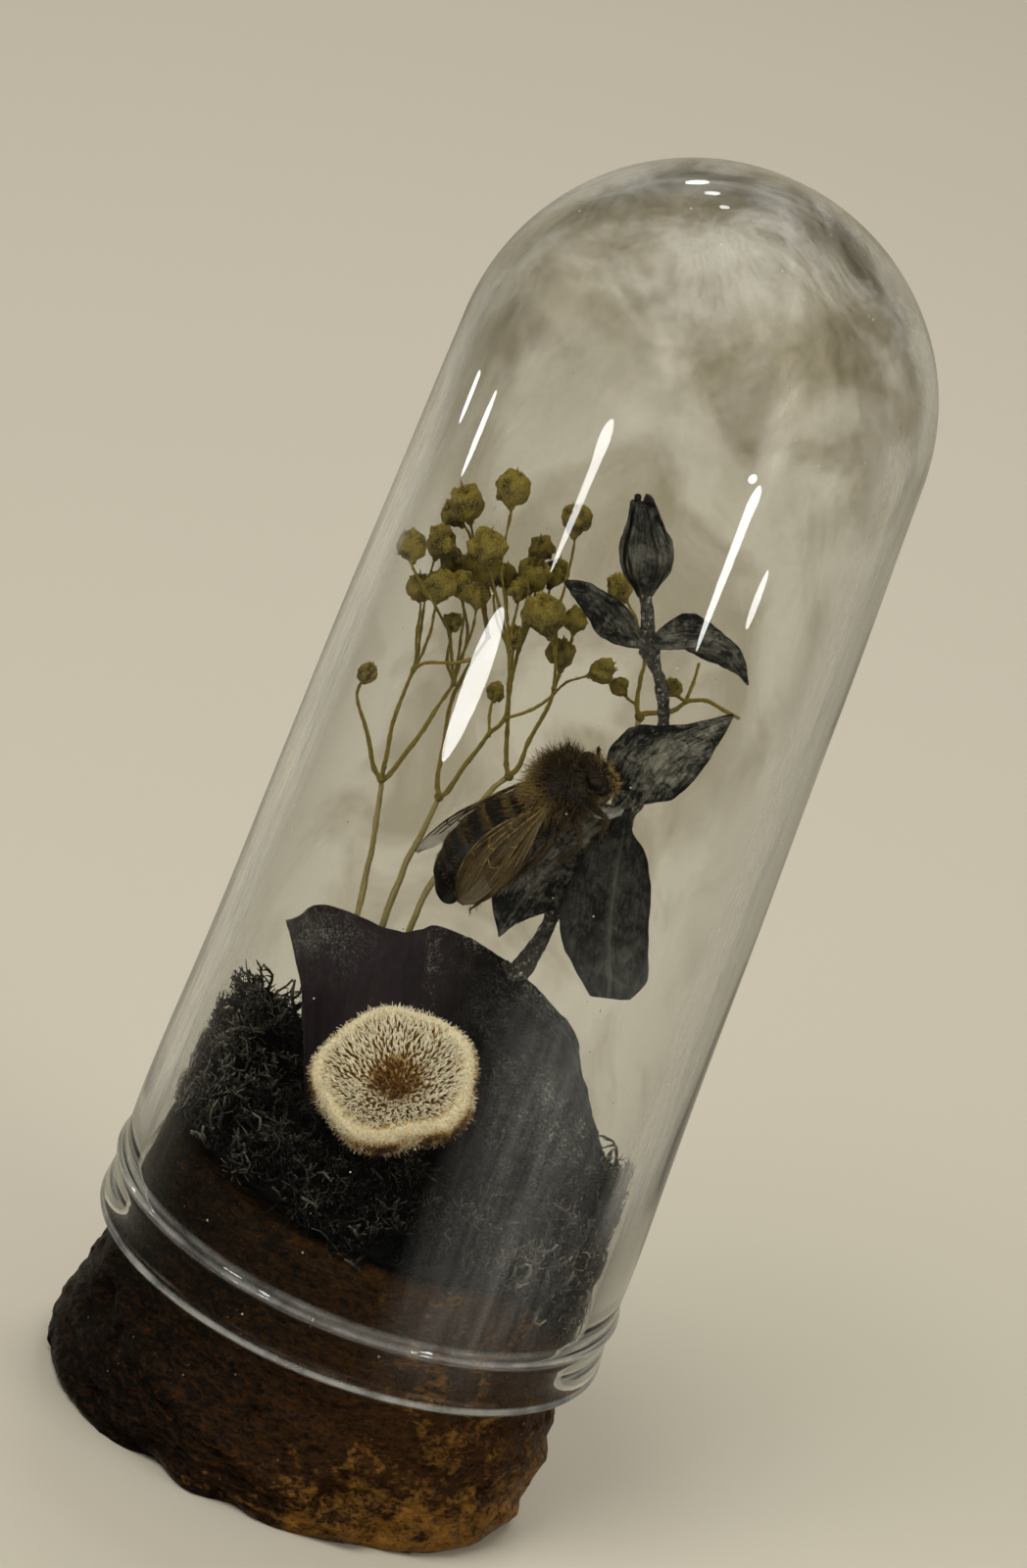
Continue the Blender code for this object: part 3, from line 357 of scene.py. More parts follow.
# a finish's or the world's node tree, with short ways to add to it
class Nodes:
    def __init__(self, owner):
        owner.use_nodes = True
        self.owner, self.tree = owner, owner.node_tree
        self.shader = self.tree.nodes.get("Principled BSDF")

    # a value, a number or a hex colour goes into a socket
    def feed(self, socket, value):
        if isinstance(value, Value):
            self.tree.links.new(value.socket, socket)
        else:
            socket.default_value = tint(value) if isinstance(value, str) else value

    # one node, its settings, and what goes into its sockets
    def add(self, kind, sockets=None, **settings):
        made = self.tree.nodes.new("ShaderNode" + kind)
        for name, value in settings.items():
            setattr(made, name, value)
        for name, value in (sockets or {}).items():
            self.feed(made.inputs[name], value)
        return made

    # what a new node gives out, ready for sums
    def value(self, kind, output, sockets=None, **settings):
        return Value(self, self.add(kind, sockets, **settings).outputs[output])

    # the object's own coordinates in millimetres, stretched along each axis if asked
    def place(self, *stretch):
        scale = tuple(1.0 / mm / s for s in stretch or (1.0, 1.0, 1.0))
        return self.value("Mapping", "Vector", {"Vector": self.value("TexCoord", "Object"), "Scale": scale})

    # a place's three coordinates, each as a value
    def axes(self, where):
        return [Value(self, axis) for axis in self.add("SeparateXYZ", {"Vector": where}).outputs]

    # one of the marks that a shape carries at its points
    def mark(self, name):
        return self.value("Attribute", "Fac", attribute_name=name)

    # clouds whose patches measure about size
    def clouds(self, where, size, detail=4.0, rough=0.55, distort=0.0):
        return self.value("TexNoise", "Fac", {
            "Vector": where, "Scale": 1.0 / size, "Detail": detail, "Roughness": rough,
            "Distortion": distort,
        })

    # how far away the nearest of many scattered points is
    def cells(self, where, size):
        return self.value("TexVoronoi", "Distance", {"Vector": where, "Scale": 1.0 / size})

    # a value turned into colours or shares at the given stops
    def ramp(self, value, stops):
        made = self.add("ValToRGB", {"Fac": value})
        band = made.color_ramp
        while len(band.elements) < len(stops):
            band.elements.new(1.0)
        for element, (spot, colour) in zip(band.elements, stops):
            element.position = spot
            element.color = tint(colour) if isinstance(colour, str) else (colour, colour, colour, 1.0)
        return Value(self, made.outputs["Color"])

    # a share that grows evenly from 0 to 1 between two values
    def fade(self, value, low, high):
        return self.ramp(value, [(low, 0.0), (high, 1.0)])

    # a value's way from low to high, turned into the way from least to most and held there
    def between(self, value, low, high, least=0.0, most=1.0):
        return self.value("MapRange", "Result", {
            "Value": value, "From Min": low, "From Max": high, "To Min": least, "To Max": most,
        })

    # low where the share is 0 and high where it is 1, or mixed another way
    def blend(self, share, low, high, way="MIX"):
        return self.value("MixRGB", "Color", {"Fac": share, "Color1": low, "Color2": high}, blend_type=way)

    # two values put together as a Math node does
    def sum(self, way, first, second=0.0):
        made = self.add("Math", operation=way)
        for socket, value in zip(made.inputs, (first, second)):
            self.feed(socket, value)
        return Value(self, made.outputs["Value"])

    # relief: how far in millimetres the height stands, added to any relief before it
    def relief(self, height, depth, before=None):
        sockets = {"Height": height, "Distance": depth * mm, "Strength": 1.0}
        if before is not None:
            sockets["Normal"] = before
        return self.value("Bump", "Normal", sockets)

    # 1 for rays that a surface has mirrored on their way, and 0 for the others
    def mirrored(self):
        return self.sum("MINIMUM", self.value("LightPath", "Glossy Depth"), 1.0)

    # lets rays pass where the share is 1, as if nothing was there
    def gap(self, share, colour="#ffffff"):
        clear = self.add("BsdfTransparent", {"Color": colour})
        mixed = self.add("MixShader", {"Fac": share})
        self.tree.links.new(self.shader.outputs["BSDF"], mixed.inputs[1])
        self.tree.links.new(clear.outputs["BSDF"], mixed.inputs[2])
        self.tree.links.new(mixed.outputs["Shader"], self.tree.nodes["Material Output"].inputs["Surface"])

    # feeds the shader's own sockets, and gives the finish back
    def finish(self, **sockets):
        names = {
            "colour": "Base Color", "rough": "Roughness", "normal": "Normal", "sheen": "Sheen Weight",
            "sheenRough": "Sheen Roughness", "clear": "Transmission Weight", "ior": "IOR",
            "gloss": "Specular IOR Level", "alpha": "Alpha",
        }
        for short, value in sockets.items():
            self.feed(self.shader.inputs[names[short]], value)
        return self.owner


# a finish of its own, ready for its nodes
def newFinish(name):
    return Nodes(bpy.data.materials.new(name))


# the glass dome: a wall turned round the axis, up its inside, over the lip and the bead, up its outside
dome = {
    "lip": [(15.5, 10.85), (16.3, 10.85), (16.66, 11.15), (16.62, 11.8), (16.52, 12.6)],
    "bead": [(16.46, 13.5), (16.47, 14.15), (16.74, 14.6), (16.58, 15.0), (16.46, 15.7)],
    "wall": [(16.45, 20.0), (16.1, 32.0), (15.7, 54.0)],
    "mouth": 15.0,              # inside radius where the plug sits
    "thickness": 1.2,
    "crown": (15.2, 74.3),      # radius of the round top, and the height of its middle
    "sides": 160,
    "waver": 0.05,              # how far the blown wall swells and sinks
    "wavers": (18.0, 26.0),     # from no waver to all of it, going up
    # the pale colour after this paints dust and smears, and also the painted highlight bands and the painted
    # light streak
    "dust": "#dacdad", "clear": "#fbfbf8", "stain": "#c0bbab", "shade": "#f2f4f1",
    "rubs": [(10.93, 0.15, 0.40), (14.72, 0.40, 0.30)],     # height, reach, share of each pale band round the lip and the bead: painted highlight standing in for reflection lines
    "smearsAndLightStreaks": [                # azimuth, half width, low end, high end and share of each pale streak: wiped smears, and at azimuth 24 a painted soft light streak
        (24, 5, 72, 90, 0.34), (66, 12, 22, 84, 0.50), (43, 4, 40, 78, 0.16),
        (-76, 13, 17, 76, 0.75), (33, 25, 11, 45, 0.07),
    ],
    "haze": 0.16,               # how thickly the upper dome is smeared
    "hazeRises": (61.0, 75.0),  # the heights over which the smears come in
}


# the wall's profile: down inside the round top to the mouth, out over lip and bead, and up to the top again
def makeDome():
    radius, height = dome["crown"]
    fall = np.linspace(0, math.pi / 2, 30)
    arc = np.stack([np.sin(fall), np.cos(fall)], axis=-1)
    inner = arc * (radius - dome["thickness"]) + (0, height)
    outer = (arc * radius + (0, height))[::-1]
    (shoulder, above), (_, below) = dome["wall"][-1], dome["wall"][0]
    inside = [inner[-1], (shoulder - dome["thickness"], above), (dome["mouth"], below)]
    mouth = [(dome["mouth"], below), (dome["mouth"], 14.0), (dome["mouth"] + 0.06, 11.6)]
    profile = np.concatenate([
        inner[:-1], through(inside, 30)[:-1], through(mouth + dome["lip"] + dome["bead"], 70)[:-1],
        through([dome["bead"][-1], *dome["wall"], outer[0]], 44)[:-1], outer,
    ])
    profile[[0, -1], 0] = 0.0

    # random hills, from none near the mouth and at the very top to their full height between
    def swell(angle, height, radius):
        spots = roundAxis(1.0, angle, height / 15)
        return dome["waver"] * hills(spots, 0.7, 5) * step(height, *dome["wavers"]) * step(radius, 1.0, 6.0)

    return turned(profile, dome["sides"], swell)


# clear glass with smears, wiped streaks and specks of dust, pale painted highlight bands on the lip and the
# bead and a painted soft light streak; lamps shine straight through it
def glassFinish():
    glass = newFinish("clearGlass")
    where = glass.place()
    x, y, z = glass.axes(where)
    high = glass.between(z + y * 0.8, *dome["hazeRises"])
    swirls = glass.clouds(glass.place(1.0, 1.0, 1.6), 9.0, detail=6.0, rough=0.60, distort=2.2)
    rubbed = glass.ramp(swirls, [(0.44, 0.0), (0.54, 0.75), (0.58, 0.25), (0.68, 1.0)]) * high
    dust = (glass.cells(where, 1.5) < 0.045) * (glass.clouds(where, 4.0) > 0.56)
    glintBreaks = glass.ramp(glass.clouds(where, 3.0), [(0.36, 0.25), (0.62, 1.0)])
    # pale bands round the lip and the bead, broken by noise: painted highlight for the glass's reflection
    # lines
    for height, reach, most in dome["rubs"]:
        near = glass.ramp(abs(z - height) / reach, [(0.0, most), (1.0, 0.0)])
        dust = (dust + near * glintBreaks).clamped()
    dust = (dust + rubbed * dome["haze"]).clamped()
    azimuth = glass.sum("ARCTAN2", x, y * -1.0)
    streakGrain = glass.clouds(glass.place(0.5, 0.5, 6.0), 1.3, detail=5.0, rough=0.65)
    streakGrain = glass.ramp(streakGrain, [(0.36, 0.25), (0.64, 1.0)])
    # pale streaks down the wall: smears, and near azimuth 24 painted light for a soft lamp streak
    for at, wide, low, top, most in dome["smearsAndLightStreaks"]:
        off = abs(azimuth - math.radians(at)) / math.radians(wide)
        near = glass.ramp(off, [(0.0, most), (0.45, most * 0.7), (1.0, 0.0)])
        ends = glass.between(z, low, low + 6.0) * glass.between(z, top, top - 8.0)
        dust = (dust + near * ends * streakGrain).clamped()
    stain = glass.clouds(glass.place(1.0, 1.0, 1.2), 9.0, rough=0.52, distort=0.9)
    stain = glass.fade(stain, 0.44, 0.60)
    filmed = stain * glass.sum("MAXIMUM", high, glass.between(y, 2.0, 9.0) * 0.75)
    film = glass.blend(filmed, dome["clear"], dome["stain"])
    ripple = glass.clouds(glass.place(1.0, 1.0, 2.5), 7.0, detail=1.0)
    glass.gap(glass.value("LightPath", "Is Shadow Ray"), dome["shade"])
    return glass.finish(
        colour=glass.blend(dust, film, dome["dust"]), clear=1.0 - dust, rough=rubbed * 0.06, ior=1.5,
        gloss=0.22, normal=glass.relief(ripple, 0.05),
    )


addPiece("glassDome", makeDome(), glassFinish(), ["glass_dome"])


# the cork plug: a turned side with grain, pits and chips, leaning a little below the lip
plug = {
    "side": [
        (15.1, 0.0), (15.7, 0.8), (15.9, 2.4), (15.75, 4.6), (15.4, 6.8), (14.95, 8.8), (14.75, 10.6),
        (14.72, 13.0), (14.7, 15.4), (14.6, 17.7), (13.9, 18.5),
    ],
    "top": 18.5,
    "lipHeight": 10.85,         # under the glass from here on up
    "lean": (-0.6, -0.3),
    "sides": 320,
    "waves": [(3, 0.9, 0.14), (7, 1.7, 0.12), (13, 2.9, 0.08)],   # round, up, height
    "bark": 0.16, "grit": 0.05, "pores": 0.30,      # heights of its relief, and depth of its pores
    "dents": [                  # angle round, height, reach, depth
        (207, 6.5, 1.3, 1.1), (287, 3.2, 1.2, 1.2), (301, 1.4, 1.4, 0.9), (243, 0.4, 1.9, 1.2),
        (264, 0.3, 1.4, 0.9), (196, 16.6, 2.0, 0.8), (318, 17.2, 3.6, 1.0), (336, 17.2, 3.6, 1.0),
        (354, 17.2, 3.6, 1.0), (12, 17.2, 3.6, 1.0), (18, 2.0, 2.4, 0.9), (105, 4.2, 2.0, 0.8),
        (148, 0.6, 2.3, 1.0),
    ],
    "dark": "#100903", "brown": "#44290c", "gold": "#a06f2b", "pit": "#060302", "pale": "#9a8a70",
    "worn": (-13.0, 7.0, 0.17),     # from where to where it turns more golden, left to right, and how much
}


# waves and bark on the side's radius, less the deepest dent near it; the neck in the glass stays smoother
def corkBulge(angle, height, radius):
    spots = roundAxis(radius, angle, height)
    free = np.clip((plug["lipHeight"] - 0.4 - height) / 2.0, 0.12, 1.0)
    waves = sum(rise * np.sin(n * angle + up * height + n) for n, up, rise in plug["waves"])
    bark = plug["bark"] * roughness(spots * (1, 1, 0.7), 2.4, 11, 4)
    grit = plug["grit"] * roughness(spots, 0.5, 31, 2)
    pores = -plug["pores"] * step(hills(spots * (1, 1, 1.5), 1.1, 17), 0.48, 0.85)
    dents = np.zeros_like(waves)
    for turn, up, reach, depth in plug["dents"]:
        at = math.radians(turn)
        wide = np.interp(up, [z for _, z in plug["side"]], [r for r, _ in plug["side"]])
        far = np.linalg.norm(spots - (wide * math.cos(at), wide * math.sin(at), up), axis=-1)
        dents = np.maximum(dents, depth * np.exp(-(far / reach) ** 2))
    edge = radius > plug["side"][-1][0] - 1.0
    return ((waves + bark + grit + pores) * free - dents) * edge


# a flat foot, the turned side and a crumbled top, pushed aside by the lean's share of the way below the lip
def makePlug():
    radius = plug["side"][-1][0]
    foot = [(r, 0.0) for r in np.linspace(0, plug["side"][0][0], 14)]
    top = [(r, plug["top"]) for r in np.linspace(radius, 0, 60)]
    profile = np.concatenate([foot[:-1], through(plug["side"], 130)[:-1], top])
    cork = turned(profile, plug["sides"], corkBulge)
    x, y, z = cork["points"].T
    lean = np.clip(1 - z / plug["lipHeight"], 0, 1)
    flat = 1 - step(np.hypot(x, y), 12.4, 13.6)
    worn = roughness(cork["points"] * (1, 1, 0), 1.3, 41, 4) - 1.2
    z = z + 0.10 * worn * flat * (z > plug["top"] - 0.01)
    cork["points"] = np.column_stack([x + plug["lean"][0] * lean, y + plug["lean"][1] * lean, z])
    return cork


# stained bark: nearly black brown, worn to gold in patches, with black pores and a broken gloss
def corkFinish():
    bark = newFinish("stainedCork")
    where = bark.place()
    x, y, z = bark.axes(where)
    bent = bark.clouds(where, 3.2, detail=6.0, rough=0.62, distort=0.8)
    grain = bark.clouds(bark.place(1.0, 1.0, 0.55), 0.7, detail=7.0, rough=0.7, distort=0.5)
    fine = bark.clouds(where, 0.16, rough=0.7)
    pores = bark.cells(bark.place(1.0, 1.0, 0.6), 0.55)
    left, right, more = plug["worn"]
    aside = bark.between(x, left, right, -more, more / 3)
    base = bark.blend(bark.fade(grain + aside, 0.34, 0.60), plug["dark"], plug["brown"])
    worn = bent * 0.55 + grain * 0.45 + bark.between(z, 8.0, 1.0, -0.09, 0.05) + aside
    base = bark.blend(bark.ramp(worn, [(0.50, 0.0), (0.57, 0.45), (0.66, 0.95)]), base, plug["gold"])
    deep = bark.ramp(pores, [(0.0, 1.0), (0.16, 0.75), (0.30, 0.0)])
    base = bark.blend(deep * 0.8, base, plug["pit"])
    scraped = bark.clouds(bark.place(2.6, 0.3, 0.5), 0.5, detail=5.0, rough=0.7)
    scraped = bark.ramp(scraped, [(0.62, 0.0), (0.70, 0.55)])
    base = bark.blend(scraped * bark.between(z, 11.0, 18.0), base, plug["gold"])
    flecks = (bark.cells(where, 0.8) < 0.07) * (bark.clouds(where, 2.5) > 0.57)
    normal = bark.relief((pores * 1.0).clamped(), 0.16, bark.relief(grain, 0.35))
    return bark.finish(
        colour=bark.blend(flecks, base, plug["pale"]), rough=bark.ramp(fine, [(0.40, 0.20), (0.58, 0.55)]),
        gloss=0.16, normal=bark.relief(fine, 0.10, normal),
    )


addPiece("corkPlug", makePlug(), corkFinish(), ["cork_base"])


# the dyed moss: a low mound with clumps, and feathery curls growing from it
moss = {
    "floor": 18.72, "edge": 13.45, "rim": 14.1, "top": 20.2,
    "clumps": [                 # x, y, rise above the top, reach
        (-11.6, 1.8, 6.2, 2.5), (-12.6, -2.6, 2.2, 2.4), (13.9, 0.2, 5.0, 1.9), (10.5, -6.5, 2.0, 2.8),
        (-1.8, -4.4, 2.9, 2.4), (5.0, 9.5, 2.2, 3.6), (-6.5, 9.8, 2.6, 3.0), (-3.0, -9.0, 0.8, 2.6),
    ],
    "bare": (-128.0, 34.0, 1.7),        # angle, reach and depth of the side where the plug's top shows
    "hanging": (-18.0, 20.0, 3.5),      # and of the side where it hangs over the plug's edge
    "outer": 14.7,
    "curls": 740, "tufts": 4,           # curls in each tuft piece, and how many pieces
    "curlLength": (1.2, 3.2), "curlWidth": 0.30, "barbs": 7, "barbLength": 1.0, "knots": 7,
    "hollows": 1.7,             # depth of the holes between the clumps
    "spikeLength": (0.6, 1.3),
    "spikes": [                 # foot, tip and how many curls make it up
        ((-11.2, 1.2, 24.6), (-12.3, 0.8, 26.8), 20), ((-12.6, 0.4, 23.0), (-13.6, 0.0, 24.6), 16),
        ((12.6, 0.0, 23.4), (14.0, -0.4, 24.6), 18), ((-9.6, 1.2, 24.2), (-9.9, 0.9, 25.9), 14),
    ],
    "twig": [                   # width, path
        (0.42, [(-8.3, 0.3, 23.9), (-8.6, 0.2, 25.4), (-9.4, 0.2, 26.8), (-9.8, 0.2, 27.5),
                (-10.0, 0.2, 28.6)]),
        (0.24, [(-9.3, 0.2, 26.7), (-9.9, 0.1, 26.7), (-10.3, 0.1, 27.1), (-10.8, 0.0, 27.0)]),
        (0.18, [(-9.7, 0.2, 27.3), (-9.4, 0.2, 27.9), (-9.5, 0.2, 28.3)]),
        (0.26, [(-8.6, 0.2, 25.3), (-9.3, 0.1, 25.6), (-9.9, 0.1, 25.5)]),
    ],
    "glass": 14.82,             # nothing grows further out than this
    "black": "#030302", "slate": "#12100d", "ash": "#49443c", "fleck": "#8c867a",
    "aged": (5.0, 12.5, 0.0, 0.19),     # from where to where it pales, left and right, and by how much
}


# the level of the mound: the highest of its round clumps over the flat top
def mossLevel(x, y):
    rises = [rise * np.exp(-((x - cx) ** 2 + (y - cy) ** 2) / reach ** 2)
             for cx, cy, rise, reach in moss["clumps"]]
    return moss["top"] + np.max(rises, axis=0)


# 1 at the middle of a side, falling away round the rest
def sideShare(angle, side):
    turn = (angle - side[0] + 180) % 360 - 180
    return np.exp(-(turn / side[1]) ** 2)


# keeps points inside the glass by squeezing what is near the wall
def insideGlass(points, limit, soft=1.2):
    radius = np.hypot(points[..., 0], points[..., 1])
    over = np.maximum(radius - (limit - soft), 0.0)
    kept = np.minimum(radius, limit - soft) + soft * (1 - np.exp(-over / soft))
    share = np.where(radius > 1e-6, kept / np.maximum(radius, 1e-6), 1.0)
    return points * np.stack([share, share, np.ones_like(share)], axis=-1)


# a turned mound: drawn in where it is bare, out and down where it hangs, raised to its level, and holed
def makeMossBed():
    floor = [(r, moss["floor"]) for r in np.linspace(0, moss["edge"], 9)]
    foot = (moss["edge"], moss["floor"])
    flank = through([foot, (moss["rim"], 18.85), (moss["rim"], 19.5), (13.4, moss["top"])], 16)
    profile = floor[:-1] + [tuple(p) for p in flank] + [(r, moss["top"]) for r in np.linspace(13.3, 0, 60)]
    bed = turned(profile, 180)
    x, y, z = bed["points"].T
    angle, radius = np.degrees(np.arctan2(y, x)), np.hypot(x, y)
    hanging = sideShare(angle, moss["hanging"])
    rim = step(radius, 13.4, 14.0)
    grown = radius - np.clip((radius - 10) / 4.1, 0, 1) * moss["bare"][2] * sideShare(angle, moss["bare"])
    grown += rim * (moss["outer"] - moss["rim"]) * hanging
    share = grown / np.maximum(radius, 1e-6)
    x, y = x * share, y * share
    level, flat = mossLevel(x, y), pointsOf(x, y, 0.0)
    crumbs = roughness(flat, 1.5, 51)
    holes = step(-hills(flat, 1.9, 57), 0.05, 0.6) * step(13.2 - radius, 0.0, 1.2)
    lifted = z - rim * moss["hanging"][2] * hanging + (z > 19.2) * 0.5 * (level - moss["top"])
    above = z > moss["top"] - 0.01
    raised = level + 0.6 * crumbs * step(14 - radius, 0, 1) - moss["hollows"] * holes * (level > 20.0)
    z = np.where(above, np.maximum(raised, moss["floor"] + 0.5), lifted)
    bed["points"] = insideGlass(np.stack([x, y, np.maximum(z, 15.0)], axis=-1), moss["glass"])
    return bed


# curls: each climbs its way while it swings round it, wider towards the tip; barbs stand along it
def mossCurls(bed, count):
    spots, out = scatter(bed, count * 5)
    clumped = (hills(spots, 1.5, 58) + 0.35 > chance.random(len(spots)) * 0.9) | (out[:, 2] < 0.6)
    grown = (out[:, 2] > -0.3) & (spots[:, 2] > 15.2) & clumped
    flank = grown & (np.abs(out[:, 2]) < 0.6) & (np.hypot(*spots[:, :2].T) > 11.5)
    chosen = np.concatenate([np.flatnonzero(flank)[:count // 3], np.flatnonzero(grown & ~flank)])[:count]
    spots, out = spots[chosen], out[chosen]
    count = len(spots)
    radial = unit(spots * (1, 1, 0))
    drift = np.stack([hills(spots + n * 11, 2.4, 59) for n in range(3)], axis=-1)
    ways = unit(out * 0.55 + radial * chance.uniform(0.0, 0.8, (count, 1)) + (0, 0, 0.30)
                + drift * 0.9 + anyWay(count) * 0.55)
    lengths = chance.uniform(*moss["curlLength"], count) * (0.70 + 0.5 * chance.random(count) ** 3)
    return growCurls(spots, ways, lengths)


# how pale each curl is: whole clumps share a shade, and each curl strays from it a little
def curlShades(spots):
    return np.clip(0.42 + 0.62 * hills(spots, 1.2, 66) + 0.30 * (chance.random(len(spots)) - 0.4), 0, 1)


# the spikes: curls gathered round a foot and leaning to its tip; the twig: thin rods with a few forks
def mossSpikes():
    parts = []
    for foot, tip, count in moss["spikes"]:
        foot, tip = np.array(foot), np.array(tip)
        at = chance.random((count, 1)) ** 1.4
        around = anyWay(count) * (0.50 - 0.42 * at)
        ways = unit(tip - foot + anyWay(count) * 0.45)
        lengths = chance.uniform(*moss["spikeLength"], count)
        parts.append(growCurls(foot + (tip - foot) * at * 0.75 + around, ways, lengths))
    for width, path in moss["twig"]:
        line = through(path, 30)
        thin = width / 2 * np.linspace(1.0, 0.35, 30)
        parts.append(roughen(rods(line[None], thin[None], 8, shade=0.3), 0.3, 0.04, 60))
    return parts


# one rod for each curl, and barbs on it that thin out and bend, ever shorter towards its tip
def growCurls(spots, ways, lengths):
    count = len(spots)
    last = moss["knots"] - 1
    t = np.linspace(0, 1, moss["knots"])
    side = unit(np.cross(ways, anyWay(count)))
    other = np.cross(ways, side)
    swing = chance.uniform(2.5, 7.0, (count, 1)) * t + chance.uniform(0, tau, (count, 1))
    wide = (chance.uniform(0.12, 0.42, (count, 1)) * t)[..., None]
    sideways = side[:, None] * np.cos(swing)[..., None] + other[:, None] * np.sin(swing)[..., None]
    paths = spots[:, None] + (ways[:, None] * t[:, None] + sideways * wide) * lengths[:, None, None]
    paths = insideGlass(paths, moss["glass"])
    shade = curlShades(spots)
    thick = moss["curlWidth"] * (0.45 + 1.3 * chance.random((count, 1)) ** 2)
    stalks = rods(paths, thick / 2 * (1 - 0.65 * t), 4, shade=shade)
    at = np.linspace(0.22, 0.97, moss["barbs"])
    low = np.floor(at * last - 1e-6).astype(int)
    share = (at * last - low)[:, None]
    roots = paths[:, low] * (1 - share) + paths[:, low + 1] * share
    along = unit(paths[:, low + 1] - paths[:, low])
    barbWays = unit(along * 0.75 + unit(chance.normal(size=roots.shape)) * 0.95)
    reach = moss["barbLength"] * (1.15 - 0.7 * at) * chance.uniform(0.45, 1.15, roots.shape[:2])
    bends = unit(chance.normal(size=roots.shape)) * 0.5
    u = np.linspace(0, 1, 3)[:, None]
    gone = barbWays[:, :, None] * u + bends[:, :, None] * u ** 2
    barbs = roots[:, :, None] + gone * reach[..., None, None]
    barbs = insideGlass(barbs.reshape(-1, 3, 3), moss["glass"])
    barbShade = np.repeat(shade, moss["barbs"]) * 0.7 + 0.3 * chance.random(len(barbs))
    fine = np.repeat(thick, moss["barbs"], axis=0) * 0.30 * (1 - 0.55 * u[:, 0])
    return joined([stalks, rods(barbs, fine, 3, shade=barbShade)])


# a matt black dye: slate and ash on the tips as painted highlight, black at the roots as painted shade, and
# a few pale flecks
def mossFinish(name, lift):
    dye = newFinish(name)
    where = dye.place()
    shade = dye.mark("shade") * 0.5 + dye.clouds(where, 2.2, detail=3.0) * 0.5
    # paler towards the left and right sides, darker in the middle
    aged = dye.between(abs(dye.axes(where)[0]), *moss["aged"])
    # the along mark brightens each curl towards its tip, painted highlight, and keeps its root black,
    # painted shade
    colours = dye.ramp((dye.mark("along") * 0.7 + 0.3) * shade + lift + aged, [
        (0.16, moss["black"]), (0.38, moss["slate"]), (0.60, moss["ash"]), (0.86, moss["fleck"]),
    ])
    normal = dye.relief(dye.clouds(where, 0.12, detail=3.0), 0.05)
    return dye.finish(colour=colours, rough=0.6, gloss=0.14, normal=normal)


mossBed = makeMossBed()
# the ground gets a lift of -0.12, darker than the curls: painted shade for the holes between them
addPiece("mossBed", mossBed, mossFinish("mossGround", -0.12), ["moss_mound"])
mossDye = mossFinish("mossDye", 0.0)
for number in range(moss["tufts"]):
    tuft = [mossCurls(mossBed, moss["curls"])]
    if number == 0:
        tuft += mossSpikes()
    addPiece("mossTuft_%d" % (number + 1), joined(tuft), mossDye)


# the dark petal: rows of points from its foot to its edge, each from left to right
petal = {
    "rows": [
        [(-6.6, 0.4, 20.7), (-4.8, 1.0, 20.6), (-2.0, 0.8, 20.6), (1.2, -0.6, 20.6),
         (5.0, -1.8, 20.7), (8.6, -1.8, 21.3), (11.2, -0.6, 22.4)],
        [(-8.0, 0.3, 24.6), (-5.8, 1.5, 24.6), (-2.6, 1.2, 24.6), (0.8, -0.8, 24.8),
         (5.0, -2.6, 25.0), (9.2, -2.4, 24.4), (12.0, -0.6, 23.2)],
        [(-9.3, 0.4, 28.0), (-7.4, 2.2, 28.2), (-4.0, 2.4, 28.4), (-0.6, 0.6, 28.8),
         (4.0, -2.4, 29.4), (8.8, -2.4, 27.8), (12.0, -0.4, 24.8)],
        [(-11.0, 0.6, 30.6), (-8.8, 2.9, 31.2), (-4.8, 3.4, 31.2), (-1.6, 1.7, 32.4),
         (3.2, -1.2, 32.8), (7.9, -1.6, 30.7), (11.6, 0.0, 25.9)],
        [(-12.2, 0.2, 31.8), (-10.1, 3.0, 32.8), (-5.3, 4.2, 32.5), (-2.1, 3.2, 34.3),
         (2.8, 1.3, 34.2), (7.3, 0.6, 31.6), (11.1, 0.9, 26.0)],
    ],
    "points": (130, 200),       # up and across
    "thickness": 0.24,
    "folds": 0.07, "bumps": 0.20, "wrinkles": 0.09,     # heights of its relief
    "ridge": -0.02,             # where the ridge between its lobes runs, from -1 at its left to 1
    # cream: painted highlight along the ridge and the top crest
    "violet": "#282028", "ink": "#0a0908", "rust": "#3a2f2f", "bloom": "#8a887e", "cream": "#b3ac9a",
    "flakes": 0.16,             # size of the bloom's grains
}


